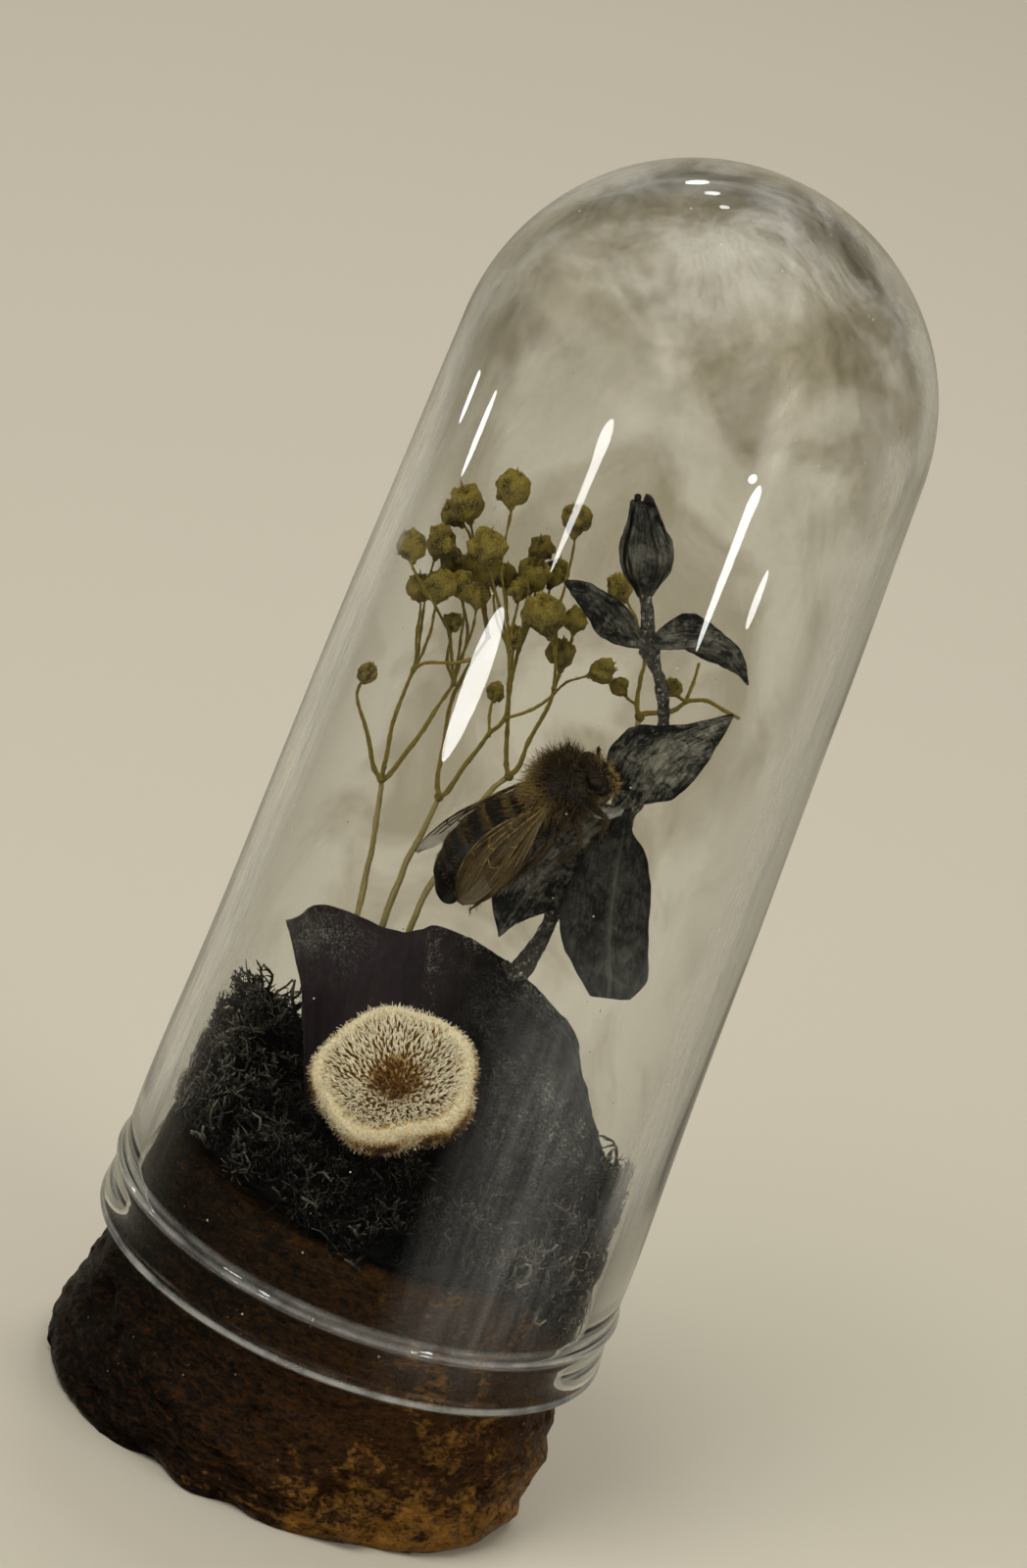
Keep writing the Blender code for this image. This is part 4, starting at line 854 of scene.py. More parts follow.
# the sheet through the rows, moved the way it faces by the sum of its ridge, folds, wrinkles, curl and lip
def makePetal():
    rows, columns = petal["points"]
    sheet = sheetThrough(petal["rows"], rows, columns)
    up, across = np.meshgrid(np.linspace(0, 1, rows), np.linspace(-1, 1, columns), indexing="ij")
    out = facing(sheet)
    veins, grid = pointsOf(across * 9, up * 2.2, 0.0), pointsOf(across * 12, up * 13, 0.0)
    ridge = np.exp(-((across - petal["ridge"] + 0.05 * up) / 0.045) ** 2) * step(up, 0.35, 0.8)
    waves = np.sin(across * 11 + 3 * hills(veins, 1.7, 61))
    folds = petal["folds"] * waves * step(up, 0.3, 1.0) * (across < 0.1)
    bumps = petal["bumps"] * roughness(grid, 2.6, 63) + 0.05 * roughness(grid, 0.6, 66)
    wrinkles = petal["wrinkles"] * roughness(veins, 0.8, 62)
    wrinkles += bumps * (0.35 + 0.65 * step(across, -0.2, 0.4))
    curl = np.maximum(-across - 0.72, 0) * np.maximum(up - 0.62, 0) * 9.0
    lip = 0.25 * step(up, 0.93, 1.0) * (0.5 + 0.5 * hills(veins, 1.6, 64))
    move = -0.45 * ridge + folds + wrinkles - curl * 0.55 - lip
    sheet = sheet + out * move[..., None]
    rim = 0.16 * hills(veins * (1, 0, 0), 2.1, 65) + 0.05 * hills(veins * (1, 0, 0), 0.6, 67)
    sheet[..., 2] += rim * step(up, 0.8, 1.0) + 0.25 * curl
    thick = petal["thickness"] * (1 - 0.55 * step(up, 0.85, 1.0))
    low = step(across, 0.15, 0.6) * (1 - 0.75 * step(up, 0.35, 0.75))
    # the right lobe's top crest, carried in the ridge mark: painted highlight
    foldHighlight = np.exp(-((across - 0.20) / 0.25) ** 2) * step(up, 0.90, 0.99)
    corner = step(up, 0.45, 0.85) * step(-across, 0.30, 0.75)
    bloom = 0.30 * step(across, -0.15, 0.3) + 0.70 * low + corner
    right = step(across, -0.2, 0.35)
    return shell(sheet, thick, bloom=bloom, right=right, ridge=0.6 * ridge + foldHighlight, curl=curl)


# dried petal: violet to blue-black, veined from foot to edge, with a mottled pale bloom on its right lobe
# and a cream painted highlight along its ridge and top crest
def petalFinish():
    skin = newFinish("driedPetal")
    where = skin.place()
    mottle = skin.clouds(where, 1.5, detail=9.0, rough=0.78, distort=0.5)
    grains = mottle * 0.45 + skin.clouds(where, petal["flakes"], detail=3.0, rough=0.7) * 0.55
    veins = skin.clouds(skin.place(0.45, 0.45, 3.2), 0.8, rough=0.6, distort=0.35)
    base = skin.blend(skin.clouds(where, 4.0, detail=3.0), petal["violet"], petal["rust"])
    base = skin.blend(veins * 0.6, base, petal["ink"])
    base = skin.blend(skin.mark("right"), base, petal["ink"])
    bloom = skin.mark("bloom") * skin.ramp(grains, [(0.46, 0.0), (0.52, 0.15), (0.58, 0.60), (0.64, 1.0)])
    patch = skin.ramp(skin.clouds(where, 2.6, detail=3.0, distort=0.6), [(0.40, 0.35), (0.60, 1.15)])
    base = skin.blend((bloom * patch).clamped(), base, petal["bloom"])
    # cream along the ridge and the top crest: painted highlight
    foldHighlight = skin.mark("ridge") * skin.ramp(grains, [(0.52, 0.0), (0.62, 0.6)])
    base = skin.blend(foldHighlight, base, petal["cream"])
    base = skin.blend((skin.mark("curl") * 0.3).clamped(), base, petal["bloom"])
    normal = skin.relief(mottle, 0.08, skin.relief(veins, 0.05))
    return skin.finish(colour=base, rough=0.6, gloss=0.16, normal=normal, sheen=0.04, sheenRough=0.5)


addPiece("darkPetal", makePetal(), petalFinish(), ["dark_petal"])


# the felted flower head: a shallow five-sided cushion with a dished face, covered in short wool
flower = {
    "centre": (-2.0, -6.5, 28.1), "facing": (-0.22, -0.60, 0.77),
    "profile": [                # radius, height along its axis
        (0.0, -4.1), (2.2, -3.9), (3.8, -3.3), (4.8, -2.1), (5.05, -0.9), (4.75, -0.1), (4.1, 0.05),
        (3.4, -0.2), (2.4, -0.5), (1.1, -1.15), (0.0, -1.6),
    ],
    "flatSide": (38.0, 24.0, 0.45),     # angle, reach and depth of its pressed side
    "girth": 5.35,                      # radius that the depth is a share of
    "corners": 0.035,
    "spots": 30000,                     # random places that the short hairs are picked from
    "hairWidth": 0.062, "tuftWidth": 0.105,
    "rimHairs": 5200, "sideHairs": 2800, "rimReach": (0.12, 0.27), "sideReach": (0.14, 0.34),
    "tufts": 640, "tuftHairs": 6, "tuftEdge": 4.05,
    "pit": "#1c0f04", "brown": "#86591a", "tan": "#bd9656", "cream": "#eee0bd", "white": "#fff5db",
}
flowerAxes = axesAlong(flower["facing"], (1, 0, 0))[[1, 2, 0]]


# presses a round cushion into its five soft corners and its flat side
def pressFlower(points):
    x, y, z = points.T
    angle, radius = np.arctan2(y, x), np.hypot(x, y)
    at, reach, depth = flower["flatSide"]
    flat = depth / flower["girth"] * np.exp(-((np.degrees(angle) - at) / reach) ** 2)
    grow = 1 + (flower["corners"] * np.cos(5 * angle + 0.6) - flat) * step(radius, 1.0, 3.5)
    bumps = 0.14 * roughness(points * (1, 1, 0), 1.2, 71)
    return np.stack([x * grow, y * grow, z + bumps], axis=-1)


# the profile turned and pressed; its tone rises from the face's middle to its rim, less the side's blotches
def makeFlowerBase():
    cushion = turned(through(flower["profile"], 70).clip((0, -9)), 120)
    radius, height = np.hypot(*cushion["points"][:, :2].T), cushion["points"][:, 2]
    face = (height > -1.7) & (radius < 4.6)
    tone = np.where(face, 0.16 + 0.56 * step(radius, 3.7, 4.5), 0.70)
    cushion["points"] = pressFlower(cushion["points"])
    blotch = 0.6 * step(-height, 0.3, 1.2) * ~face * step(roughness(cushion["points"], 1.2, 74), -0.4, 0.3)
    cushion["marks"] = {"tone": tone - blotch}
    return cushion


# the felt of the rim and the side: short hairs all ways, browner in blotches underneath
def makeFlowerWool(cushion):
    spots, out = scatter(cushion, flower["spots"])
    radius, height = np.hypot(*spots[:, :2].T), spots[:, 2]
    around = unit(spots * (1, 1, 0))
    rim = np.flatnonzero((radius > 3.75) & (height > -1.9))[:flower["rimHairs"]]
    side = np.flatnonzero((height < -1.3) & (out[:, 2] < 0.6))[:flower["sideHairs"]]
    parts = []
    for chosen, ways, reach, tone in (
        (rim, out + around * 0.2, flower["rimReach"], 0.98),
        (side, out * 0.8 + (0, 0, -0.35), flower["sideReach"], 0.85),
    ):
        spread = unit(ways[chosen] + anyWay(len(chosen)) * 0.75)
        under = step(-height[chosen], 0.10, 0.90)
        blotch = under * (0.30 + 0.50 * step(roughness(spots[chosen], 1.1, 74), -0.35, 0.25))
        patch = 0.14 * roughness(spots[chosen], 1.0, 73) + 0.10 * chance.normal(size=len(chosen)) - blotch
        lengths = chance.uniform(*reach, len(chosen)) * (1 + 0.3 * (chance.random(len(chosen)) > 0.93))
        parts.append(hairs(
            spots[chosen], spread, lengths, flower["hairWidth"], anyWay(len(chosen)) * 0.9, steps=3,
            tip=0.5, tone=np.clip(tone + patch, 0, 1),
        ))
    return joined(parts)


# the tufts of the face sit on a sunflower's spiral: each turns by the golden angle, and its radius
# grows by the root of its number
def makeFlowerTufts():
    number = np.arange(flower["tufts"]) + 0.5
    radius = flower["tuftEdge"] * np.sqrt(number / flower["tufts"])
    angle = number * math.pi * (3 - math.sqrt(5))
    profile = np.array(flower["profile"])[-5:][::-1]
    height = np.interp(radius, profile[:, 0], profile[:, 1])
    spots = roundAxis(radius, angle, height)
    spots = pressFlower(spots + chance.normal(size=spots.shape) * (0.045, 0.045, 0))
    around = unit(spots * (1, 1, 0))
    share = radius / flower["tuftEdge"]
    lean = around * (0.25 + 0.9 * share[:, None]) + (0, 0, 0.75) + anyWay(len(spots)) * 0.30
    owner = np.repeat(np.arange(len(spots)), flower["tuftHairs"])
    ways = unit(unit(lean)[owner] + anyWay(len(owner)) * 0.30)
    lengths = (0.30 + 0.26 * share[owner]) * chance.uniform(0.75, 1.15, len(owner))
    light = 0.30 + 0.66 * step(share, 0.24, 0.50) + 0.10 * chance.normal(size=len(spots))
    tone = np.clip(light[owner] + 0.06 * chance.normal(size=len(owner)), 0, 1)
    roots = spots[owner] + anyWay(len(owner)) * 0.04
    bends = (0, 0, 0.25) + anyWay(len(owner)) * 0.25
    return hairs(roots, ways, lengths, flower["tuftWidth"], bends, steps=3, tip=0.5, tone=tone)


# wool that darkens to brown at its roots, in the middle of the face and in blotches underneath
def woolFinish(name, base):
    wool = newFinish(name)
    where = wool.place()
    grown = wool.clouds(where, 0.18) * 0.8 + 0.55 if base else wool.mark("along") * 0.75 + 0.42
    colours = wool.ramp(wool.mark("tone") * grown, [
        (0.06, flower["pit"]), (0.28, flower["brown"]), (0.48, flower["tan"]), (0.70, flower["cream"]),
        (0.98, flower["white"]),
    ])
    normal = wool.relief(wool.clouds(where, 0.1, detail=3.0), 0.06)
    return wool.finish(colour=colours, rough=0.9, gloss=0.15, sheen=0.2, sheenRough=0.5, normal=normal)


flowerBase = makeFlowerBase()
flowerWool = makeFlowerWool(flowerBase)
flowerTufts = makeFlowerTufts()
for shape in (flowerBase, flowerWool, flowerTufts):
    shape["points"] = shape["points"] @ flowerAxes + flower["centre"]
woolHair = woolFinish("flowerWool", False)
addPiece("flowerHead", flowerBase, woolFinish("flowerFelt", True), ["flower_head"])
addPiece("flowerWool", flowerWool, woolHair)
addPiece("flowerTufts", flowerTufts, woolHair)


# the grey leafy sprig: a bowed stem with swollen nodes, five leaves, and a closed bud on top
leafy = {
    "stem": [
        (2.3, 1.5, 33.0), (3.0, 1.15, 34.8), (3.5, 1.2, 37.2), (3.6, 1.2, 39.8), (4.7, 1.3, 43.4),
        (5.5, 1.3, 46.7), (5.9, 1.3, 50.2), (5.5, 1.2, 53.8), (4.2, 0.9, 56.4), (2.9, 0.6, 58.4),
        (1.35, 0.5, 62.1),
    ],
    "widths": [1.9, 1.35, 0.95, 0.95, 0.9, 1.05, 0.8, 0.8, 0.75, 0.95, 0.7],
    "nodes": [(0.28, 0.12), (0.48, 0.50), (0.53, 0.30), (0.66, 0.14), (0.88, 0.35)],
    "thickness": 0.2,
    "crumple": 0.22, "ribs": 0.04, "groove": 0.16,      # heights and depth of a blade's relief
    "leaves": {
        "leafTopLeft": {
            "base": (2.2, 0.1, 58.5), "tip": (-3.3, -0.7, 60.7), "side": (0.25, -0.2, 1.0),
            "plus": [0.15, 0.45, 0.65, 0.83, 0.87, 0.86, 0.84, 0.81, 0.61, 0.1],
            "minus": [0.15, 0.75, 1.41, 1.8, 1.91, 1.7, 1.36, 0.98, 0.61, 0.1],
            "arch": 0.6, "cup": 0.35, "fold": 0.15, "bloom": 0.95,
            "node": "leaf_top_left",
        },
        "leafTopRight": {
            "base": (3.6, 0.3, 58.6), "tip": (9.6, 0.6, 58.2), "side": (-0.1, -0.25, 1.0),
            "plus": [0.15, 2.0, 2.3, 2.06, 1.62, 1.2, 0.99, 0.99, 0.74, 0.03],
            "minus": [0.12, 0.10, 0.53, 0.91, 1.25, 1.39, 1.19, 0.82, 0.33, 0.03],
            "arch": 1.35, "cup": -0.35, "fold": -0.75, "bloom": 1.1,
            "node": "leaf_top_right",
        },
        "leafMiddle": {
            "base": (5.2, 0.1, 47.9), "tip": (9.4, -1.3, 56.7), "side": (-0.9, -0.1, 0.42),
            "plus": [0.2, 1.06, 2.28, 2.78, 2.68, 2.28, 1.3, 0.61, 0.31, 0.04],
            "minus": [0.2, 0.3, 1.31, 2.42, 2.75, 2.76, 2.39, 1.78, 0.99, 0.03],
            "arch": 1.15, "cup": 0.5, "fold": 0.1, "bloom": 1.5,
            "node": "leaf_middle",
        },
        "leafDroopingLeft": {
            "base": (4.7, 0.3, 46.2), "tip": (0.9, -0.4, 36.7), "side": (0.93, 0.0, -0.36),
            "plus": [0.2, 1.35, 1.92, 2.2, 2.31, 2.23, 2.02, 1.35, 0.52, 0.03],
            "minus": [0.2, 2.0, 2.4, 2.62, 2.55, 2.53, 2.43, 2.3, 1.49, 0.03],
            "arch": -0.7, "cup": -0.4, "fold": -0.1, "bloom": 1.05,
            "node": "leaf_drooping_left",
        },
        "leafDroopingRight": {
            "base": (5.8, 0.1, 46.2), "tip": (8.7, -1.1, 35.8), "side": (0.96, 0.1, 0.26),
            "plus": [0.2, 0.45, 1.51, 2.01, 2.26, 2.36, 2.43, 2.48, 2.45, 1.25],
            "minus": [0.2, 1.3, 2.04, 2.49, 2.94, 3.21, 3.15, 2.69, 1.96, 1.2],
            "arch": -0.35, "cup": -0.5, "fold": -0.15, "bloom": 0.35,
            "node": "leaf_drooping_right",
        },
    },
    "bud": {
        "foot": (1.70, 0.5, 61.3), "tip": (-0.75, 0.5, 67.1), "width": 3.25, "sepals": 5,
        "shape": [0.20, 0.44, 0.70, 0.88, 0.99, 0.98, 0.90, 0.76, 0.60, 0.49, 0.42],
    },
    "glue": {"centre": (4.4, -1.95, 47.8), "halves": (0.95, 0.45, 0.45), "along": (0.9, 0.25, 0.35)},
    "dark": "#0c0b09", "grey": "#1f1e1a", "bark": "#57534a", "pale": "#9d998a", "frost": "#b8b4a6",
    # the glue's milky white: painted highlight
    "glueMilkyHighlight": "#f4f4ee",
}


# a leaf: a bowed midrib from its stalk to its tip, half widths on each side, and a cupped, folded blade
def makeLeaf(leaf, seed, rows=110, columns=56):
    base, tip, side = (np.array(leaf[name], float) for name in ("base", "tip", "side"))
    along = tip - base
    side = unit(side - along * (side @ along) / (along @ along))
    face = unit(np.cross(along, side))
    face *= -np.sign(face[1])
    t = np.linspace(-0.125, 1, rows)[:, None]
    a = np.linspace(-1, 1, columns)[None, :]
    plus, minus = (through(leaf[name], rows)[:, None] for name in ("plus", "minus"))
    spread = np.clip((plus + minus) / np.max(plus + minus), 0.02, 1.0)
    spots = pointsOf(a * 2.2, t * 5, seed)
    edge = 1 + 0.04 * roughness(spots * (0.3, 1, 1), 0.8, 81) * np.abs(a)
    half = np.maximum(np.where(a > 0, plus, minus), 0.03) * edge
    waves = np.sin(46 * (t - 0.55 * np.abs(a)) + 2.5 * hills(spots, 1.0, 84))
    ribs = leafy["ribs"] * waves * np.abs(a) ** 0.7
    lift = (leaf["cup"] * a ** 2 + leaf["fold"] * (np.abs(a) - 0.5)) * spread
    lift = lift + leafy["crumple"] * roughness(spots, 1.7, 82) * spread + ribs * spread
    lift = lift - leafy["groove"] * np.exp(-(a / 0.06) ** 2) * (1 - t)
    lift = lift - 0.25 * np.sign(leaf["cup"]) * np.abs(a) ** 9 * spread
    bow = leaf["arch"] * np.sin(math.pi * np.maximum(t, 0))
    middle = base + along * t[..., None] + side * bow[..., None]
    sheet = middle + side * (half * a)[..., None] + face * lift[..., None]
    rib = np.exp(-(a / 0.07) ** 2) * (1 - 0.7 * t)
    thick = leafy["thickness"] * (0.45 + 0.55 * (1 - np.abs(a) ** 4)) + 0.22 * rib
    return shell(sheet, thick, bloom=leaf["bloom"], rib=rib, edge=np.abs(a) ** 9, width=half * a,
                 length=np.linalg.norm(along) * t + seed * 3)


# a rod as wide as its list says, swelling as a bell curve at each node, with a lump at its foot
def makeStem(count=150):
    path = through(leafy["stem"], count)
    t = np.linspace(0, 1, count)
    width = np.interp(t, np.linspace(0, 1, len(leafy["widths"])), leafy["widths"])
    for at, more in leafy["nodes"]:
        width = width + more * np.exp(-((t - at) / 0.018) ** 2)
    lump = egg((2.6, 0.9, 34.1), (1.15, 0.5, 0.5), 30, 22, axesAlong((0.8, 0.1, -0.5), (0, 0, 1)))
    stem = joined([rods(path[None], (width / 2)[None], 26), roughen(lump, 0.7, 0.16, 94)])
    roughen(stem, 0.5, 0.07, 91)
    return roughen(stem, 1.6, 0.09, 92, stretch=(2, 2, 0.6))


# sepals: strips of an egg-shaped bud from foot to tip, each lapping the next, over a core that they hide
def makeBud(rows=60, columns=26):
    bud = leafy["bud"]
    foot, tip = np.array(bud["foot"]), np.array(bud["tip"])
    axes = axesAlong(tip - foot, (0, 1, 0))[[1, 2, 0]]
    length = np.linalg.norm(tip - foot)
    t = np.linspace(0.0, 1.0, rows)[:, None]
    a = np.linspace(-1, 1, columns)[None, :]
    oval = through(bud["shape"], rows)[:, None]
    strips = []
    for number in range(bud["sepals"]):
        middle = tau * number / bud["sepals"] + 0.5 + 0.2 * math.sin(number * 2.1)
        reach = 0.92 * (1 - 0.35 * t ** 3) * (1 + 0.06 * a * math.sin(number * 5))
        angle = middle + reach * a + 0.28 * t
        spots = pointsOf(a * 1.2, t * 4, number * 3.0)
        lap = 0.04 + 0.16 * a + 0.12 * np.abs(a) ** 5 + 0.06 * math.sin(number * 3)
        radius = bud["width"] / 2 * oval * (0.90 + lap * 0.6)
        radius = radius + 0.15 * roughness(spots * (1.8, 0.8, 1), 0.9, 95) - 0.07 * np.exp(-(a / 0.12) ** 2)
        radius = radius + 0.16 * np.cos(angle - 0.4) * np.sin(math.pi * t)
        end = length * (0.97 + 0.05 * math.sin(number * 4 + 1))
        sheet = roundAxis(radius, angle, end * t)
        strips.append(shell(
            sheet, 0.16, bloom=0.8 + 0.5 * (number == 2), edge=np.abs(a) ** 5, width=a * 1.4,
            rib=0.4 * np.exp(-(a / 0.1) ** 2), length=t * 5 + number * 7,
        ))
    flank = np.concatenate([bud["width"] / 2 * 0.80 * oval, t * length * 0.96], axis=1)
    strips.append(turned(np.concatenate([[(0, 0)], flank, [(0, length * 0.9)]]), 30))
    for number, at in enumerate((0.99, 1.01, 0.97)):
        turn = number * 2.1 + 0.4
        knob = egg(roundAxis(0.36, turn, length * at), (0.24, 0.25, 0.30), 16, 12)
        strips.append(roughen(knob, 0.3, 0.05, number))
    whole = joined(strips)
    whole["points"] = whole["points"] @ axes + foot
    return whole


# dried grey leaf: nearly black under a pale bloom that is streaked along the leaf and worn off its edges
def leafFinish():
    skin = newFinish("driedLeaf")
    where = skin.place()
    blade = skin.value("CombineXYZ", "Vector", {"X": skin.mark("width") * 5.0, "Y": skin.mark("length")})
    mottle = skin.clouds(where, 0.9, detail=9.0, rough=0.76, distort=0.9)
    scratch = skin.clouds(blade, 1.0, detail=7.0, rough=0.72, distort=0.5)
    wide = skin.clouds(where, 2.4, detail=2.0, distort=0.5)
    worn = mottle * 0.55 + scratch * 0.45 + (wide - 0.5) * 0.30
    bloom = skin.mark("bloom") * skin.ramp(worn, [(0.46, 0.0), (0.54, 0.28), (0.60, 0.55), (0.68, 0.95)])
    base = skin.blend(skin.fade(wide, 0.38, 0.60), leafy["dark"], leafy["grey"])
    base = skin.blend(bloom.clamped(), base, leafy["pale"])
    base = skin.blend(skin.mark("rib") * 0.35, base, leafy["pale"])
    base = skin.blend((skin.mark("edge") * 0.7).clamped(), base, leafy["dark"])
    normal = skin.relief(mottle, 0.10, skin.relief(scratch, 0.14))
    return skin.finish(colour=base, rough=0.52, gloss=0.22, normal=normal)


# the stem's bark: grey, flecked with white frost
def stemFinish():
    bark = newFinish("greyStem")
    where = bark.place()
    mottle = bark.clouds(where, 0.4, detail=7.0, rough=0.68)
    flecks = bark.ramp(bark.clouds(where, 0.30, detail=5.0, rough=0.75), [(0.56, 0.0), (0.64, 0.9)])
    base = bark.blend(bark.fade(mottle, 0.38, 0.66), leafy["grey"], leafy["bark"])
    base = bark.blend(flecks, base, leafy["frost"])
    return bark.finish(colour=base, rough=0.7, gloss=0.3, normal=bark.relief(mottle, 0.14))


# the glue: a flattened drop with a few pulled humps
def makeGlue():
    glue = leafy["glue"]
    axes = axesAlong(glue["along"], (0, 0, 1))
    drop = egg(glue["centre"], glue["halves"], 40, 30, axes)
    return roughen(drop, 0.6, 0.22, 97, 2)


# clear glue with a rippled face, partly milky white as a painted highlight
def glueFinish():
    drop = newFinish("clearGlue")
    ripple = drop.clouds(drop.place(), 0.35, detail=2.0)
    return drop.finish(
        colour=leafy["glueMilkyHighlight"], clear=0.78, ior=1.48, gloss=0.5, rough=ripple * 0.16,
        normal=drop.relief(ripple, 0.06),
    )


leafGrey = leafFinish()
for number, (name, leaf) in enumerate(leafy["leaves"].items()):
    addPiece(name, makeLeaf(leaf, number * 7.3), leafGrey, [leaf["node"]])
addPiece("closedBud", makeBud(), leafGrey, ["flower_bud"])
addPiece("leafyStem", makeStem(), stemFinish(), ["leaf_stem"])
addPiece("glueDrop", makeGlue(), glueFinish(), ["glue_drop"])


# the bee, along its own axes: x to the head, y to its left side, z to its back
bee = {
    "place": (1.2, -3.3, 48.3), "forward": (0.599, 0.055, 0.799), "back": (-0.700, -0.448, 0.556),
    "thorax": ((0.6, 0.15, 0.3), (2.2, 2.05, 1.95)), "shield": ((-1.0, 0.0, 1.0), (0.85, 1.15, 0.7)),
    "head": ((2.75, -0.25, -0.15), (0.82, 1.5, 1.38)),
    "eyes": ((-0.05, 1.08, 0.45), (0.48, 0.40, 0.80)), "dots": (0.15, 0.18, 1.30),
    "spine": [                  # of the abdomen, from the waist to the tail
        (-1.3, 0.0, 0.1), (-3.4, 0.05, 0.25), (-5.9, -0.05, -0.1), (-8.2, -0.3, -0.85), (-10.0, -0.7, -2.2),
    ],
    "bands": 6, "girth": 2.0, "belly": 0.86, "taper": 0.16, "tailTurn": [0.0, 8.0, 38.0],
    "legs": [                   # hip, knee, shin and claw of each leg on its right, then on its left
        [(0.9, -0.6, -0.9), (1.7, -1.7, -2.1), (0.8, -1.9, -2.9), (0.9, -1.3, -3.4)],
        [(0.1, -0.7, -0.9), (-0.3, -2.0, -2.2), (-1.4, -2.1, -2.9), (-2.4, -1.8, -3.0)],
        [(-0.8, -0.6, -0.9), (-2.6, -1.8, -1.8), (-5.2, -2.0, -2.2), (-7.4, -2.1, -2.4),
         (-8.7, -2.1, -2.6)],
        [(0.9, 0.5, -0.9), (1.9, 0.7, -2.0), (1.7, 0.3, -2.6)],
        [(0.1, 0.5, -0.9), (-0.6, 0.6, -2.2), (-1.7, 0.2, -2.7)],
        [(-0.8, 0.5, -0.9), (-2.4, 0.7, -2.1), (-4.4, 0.3, -2.5)],
    ],
    "waist": [(-1.0, 0.0, 0.0), (-1.6, 0.0, 0.05), (-2.1, 0.0, 0.1)],
    "jaw": [(0.2, 0.4, -1.05), (0.45, 0.32, -1.4), (0.4, 0.05, -1.7)],
    "tongue": [(2.8, -0.2, -1.2), (2.4, -0.2, -2.0), (1.6, -0.1, -2.4)],
    "feelers": [
        [(3.1, -0.7, 0.3), (3.65, -1.0, 0.3), (3.75, -1.2, -0.4)],
        [(3.0, 0.1, 0.4), (3.45, 0.7, 0.75), (3.5, 1.35, 0.6)],
    ],
    "wings": {                  # root, tip, direction across, width, how far it bows from the body
        "beeForewingRight": ((0.1, -1.2, 1.0), (-8.6, -3.05, -1.0), (-0.15, 0.35, 0.92), 3.2, 0.15),
        "beeHindwingRight": ((-0.7, -1.2, 0.7), (-6.6, -2.6, -1.6), (-0.25, 0.35, 0.9), 2.1, 0.05),
        "beeForewingLeft": ((0.0, 1.2, 1.0), (-10.4, 2.6, -0.4), (0.1, -0.5, 0.85), 2.7, 0.3),
        "beeHindwingLeft": ((-0.7, 1.2, 0.7), (-7.4, 2.3, -0.9), (0.1, -0.4, 0.9), 1.8, 0.15),
    },
    "wingShape": [0.10, 0.20, 0.36, 0.54, 0.72, 0.87, 0.97, 1.0, 0.97, 0.86, 0.64, 0.14],
    "veins": [                  # along and across, from the root: front edge, main ribs, cross ribs
        [(0, 0.6), (0.3, 0.93), (0.6, 0.95), (0.86, 0.90)],
        [(0, 0.3), (0.25, 0.72), (0.5, 0.78), (0.72, 0.90)],
        [(0, 0.0), (0.3, 0.20), (0.55, 0.30), (0.80, 0.10)], [(0.1, -0.4), (0.35, -0.35), (0.6, -0.45)],
        [(0, -0.7), (0.3, -0.92), (0.5, -0.95)], [(0.32, 0.78), (0.36, 0.5), (0.34, 0.22)],
        [(0.5, 0.78), (0.56, 0.5), (0.55, 0.30)], [(0.66, 0.82), (0.70, 0.5), (0.68, 0.20)],
        [(0.42, 0.24), (0.46, -0.1), (0.44, -0.40)], [(0.62, 0.27), (0.66, -0.1), (0.60, -0.45)],
        [(0.36, 0.5), (0.46, 0.48), (0.56, 0.5), (0.70, 0.5), (0.82, 0.45)],
    ],
    "wingThick": 0.045, "furWidth": 0.055, "beltWidth": 0.042,
    "bare": 0.62,               # how near an eye's middle no fur grows
    "farCover": 0.42,           # how much the wings on its far side hide, next to those in front
    "furHairs": 6800, "beltHairs": 3800,
    "black": "#0a0603", "brown": "#22140a", "amber": "#4d3b22", "furDark": "#20150a", "furGold": "#6c5628",
    "furPale": "#9a8148", "membrane": "#2b1e0f", "thin": "#6a5838", "eye": "#0c0805", "facet": "#231a0c",
    "limb": "#3b2b15", "vein": "#8c7448",
}
beeAxes = axesAlong(bee["forward"], bee["back"])


# the abdomen: rings on the spine, an egg's girth, each band flaring to its rear edge over the next
def makeAbdomen(rows=150, sides=64):
    s = np.linspace(0.004, 0.996, rows)
    middle = through(bee["spine"], rows)
    band = s * bee["bands"] % 1.0
    flare = 0.94 + 0.065 * band ** 1.4 - 0.045 * step(band, 0.95, 1.0)
    girth = bee["girth"] * (4 * s * (1 - s)) ** 0.46 * (1 - bee["taper"] * s) * flare
    tipped = np.radians(np.interp(s, [0, 0.5, 1], bee["tailTurn"]))
    turn = np.arange(sides) * tau / sides
    lift = np.sin(turn) * np.where(np.sin(turn) < 0, bee["belly"], 1.0) * girth[:, None]
    rings = np.stack([
        middle[:, :1] - lift * np.sin(tipped)[:, None],
        middle[:, 1:2] + np.cos(turn) * girth[:, None],
        middle[:, 2:] + lift * np.cos(tipped)[:, None],
    ], axis=-1)
    ends = middle[0] + (0.02, 0, 0), middle[-1] + (-0.02, 0, -0.02)
    body = ringed(rings[:, ::-1], *ends, belt=s[:, None], band=band[:, None])
    return roughen(body, 0.8, 0.05, 131)


# an egg, narrower and drawn forward below, with a low brow on top
def makeHead():
    head = egg((0, 0, 0), bee["head"][1], 44, 34)
    x, y, z = head["points"].T
    narrow = 1 - 0.30 * step(-z, 0.1, 1.5)
    brow = 0.10 * np.exp(-(y / 0.4) ** 2) * step(z, 0.2, 1.2)
    x = x * (0.86 + 0.2 * step(z, -1, 1)) + 0.15 * step(-z, 0.3, 1.4)
    head["points"] = pointsOf(x, y * narrow, z + brow) + bee["head"][0]
    return head


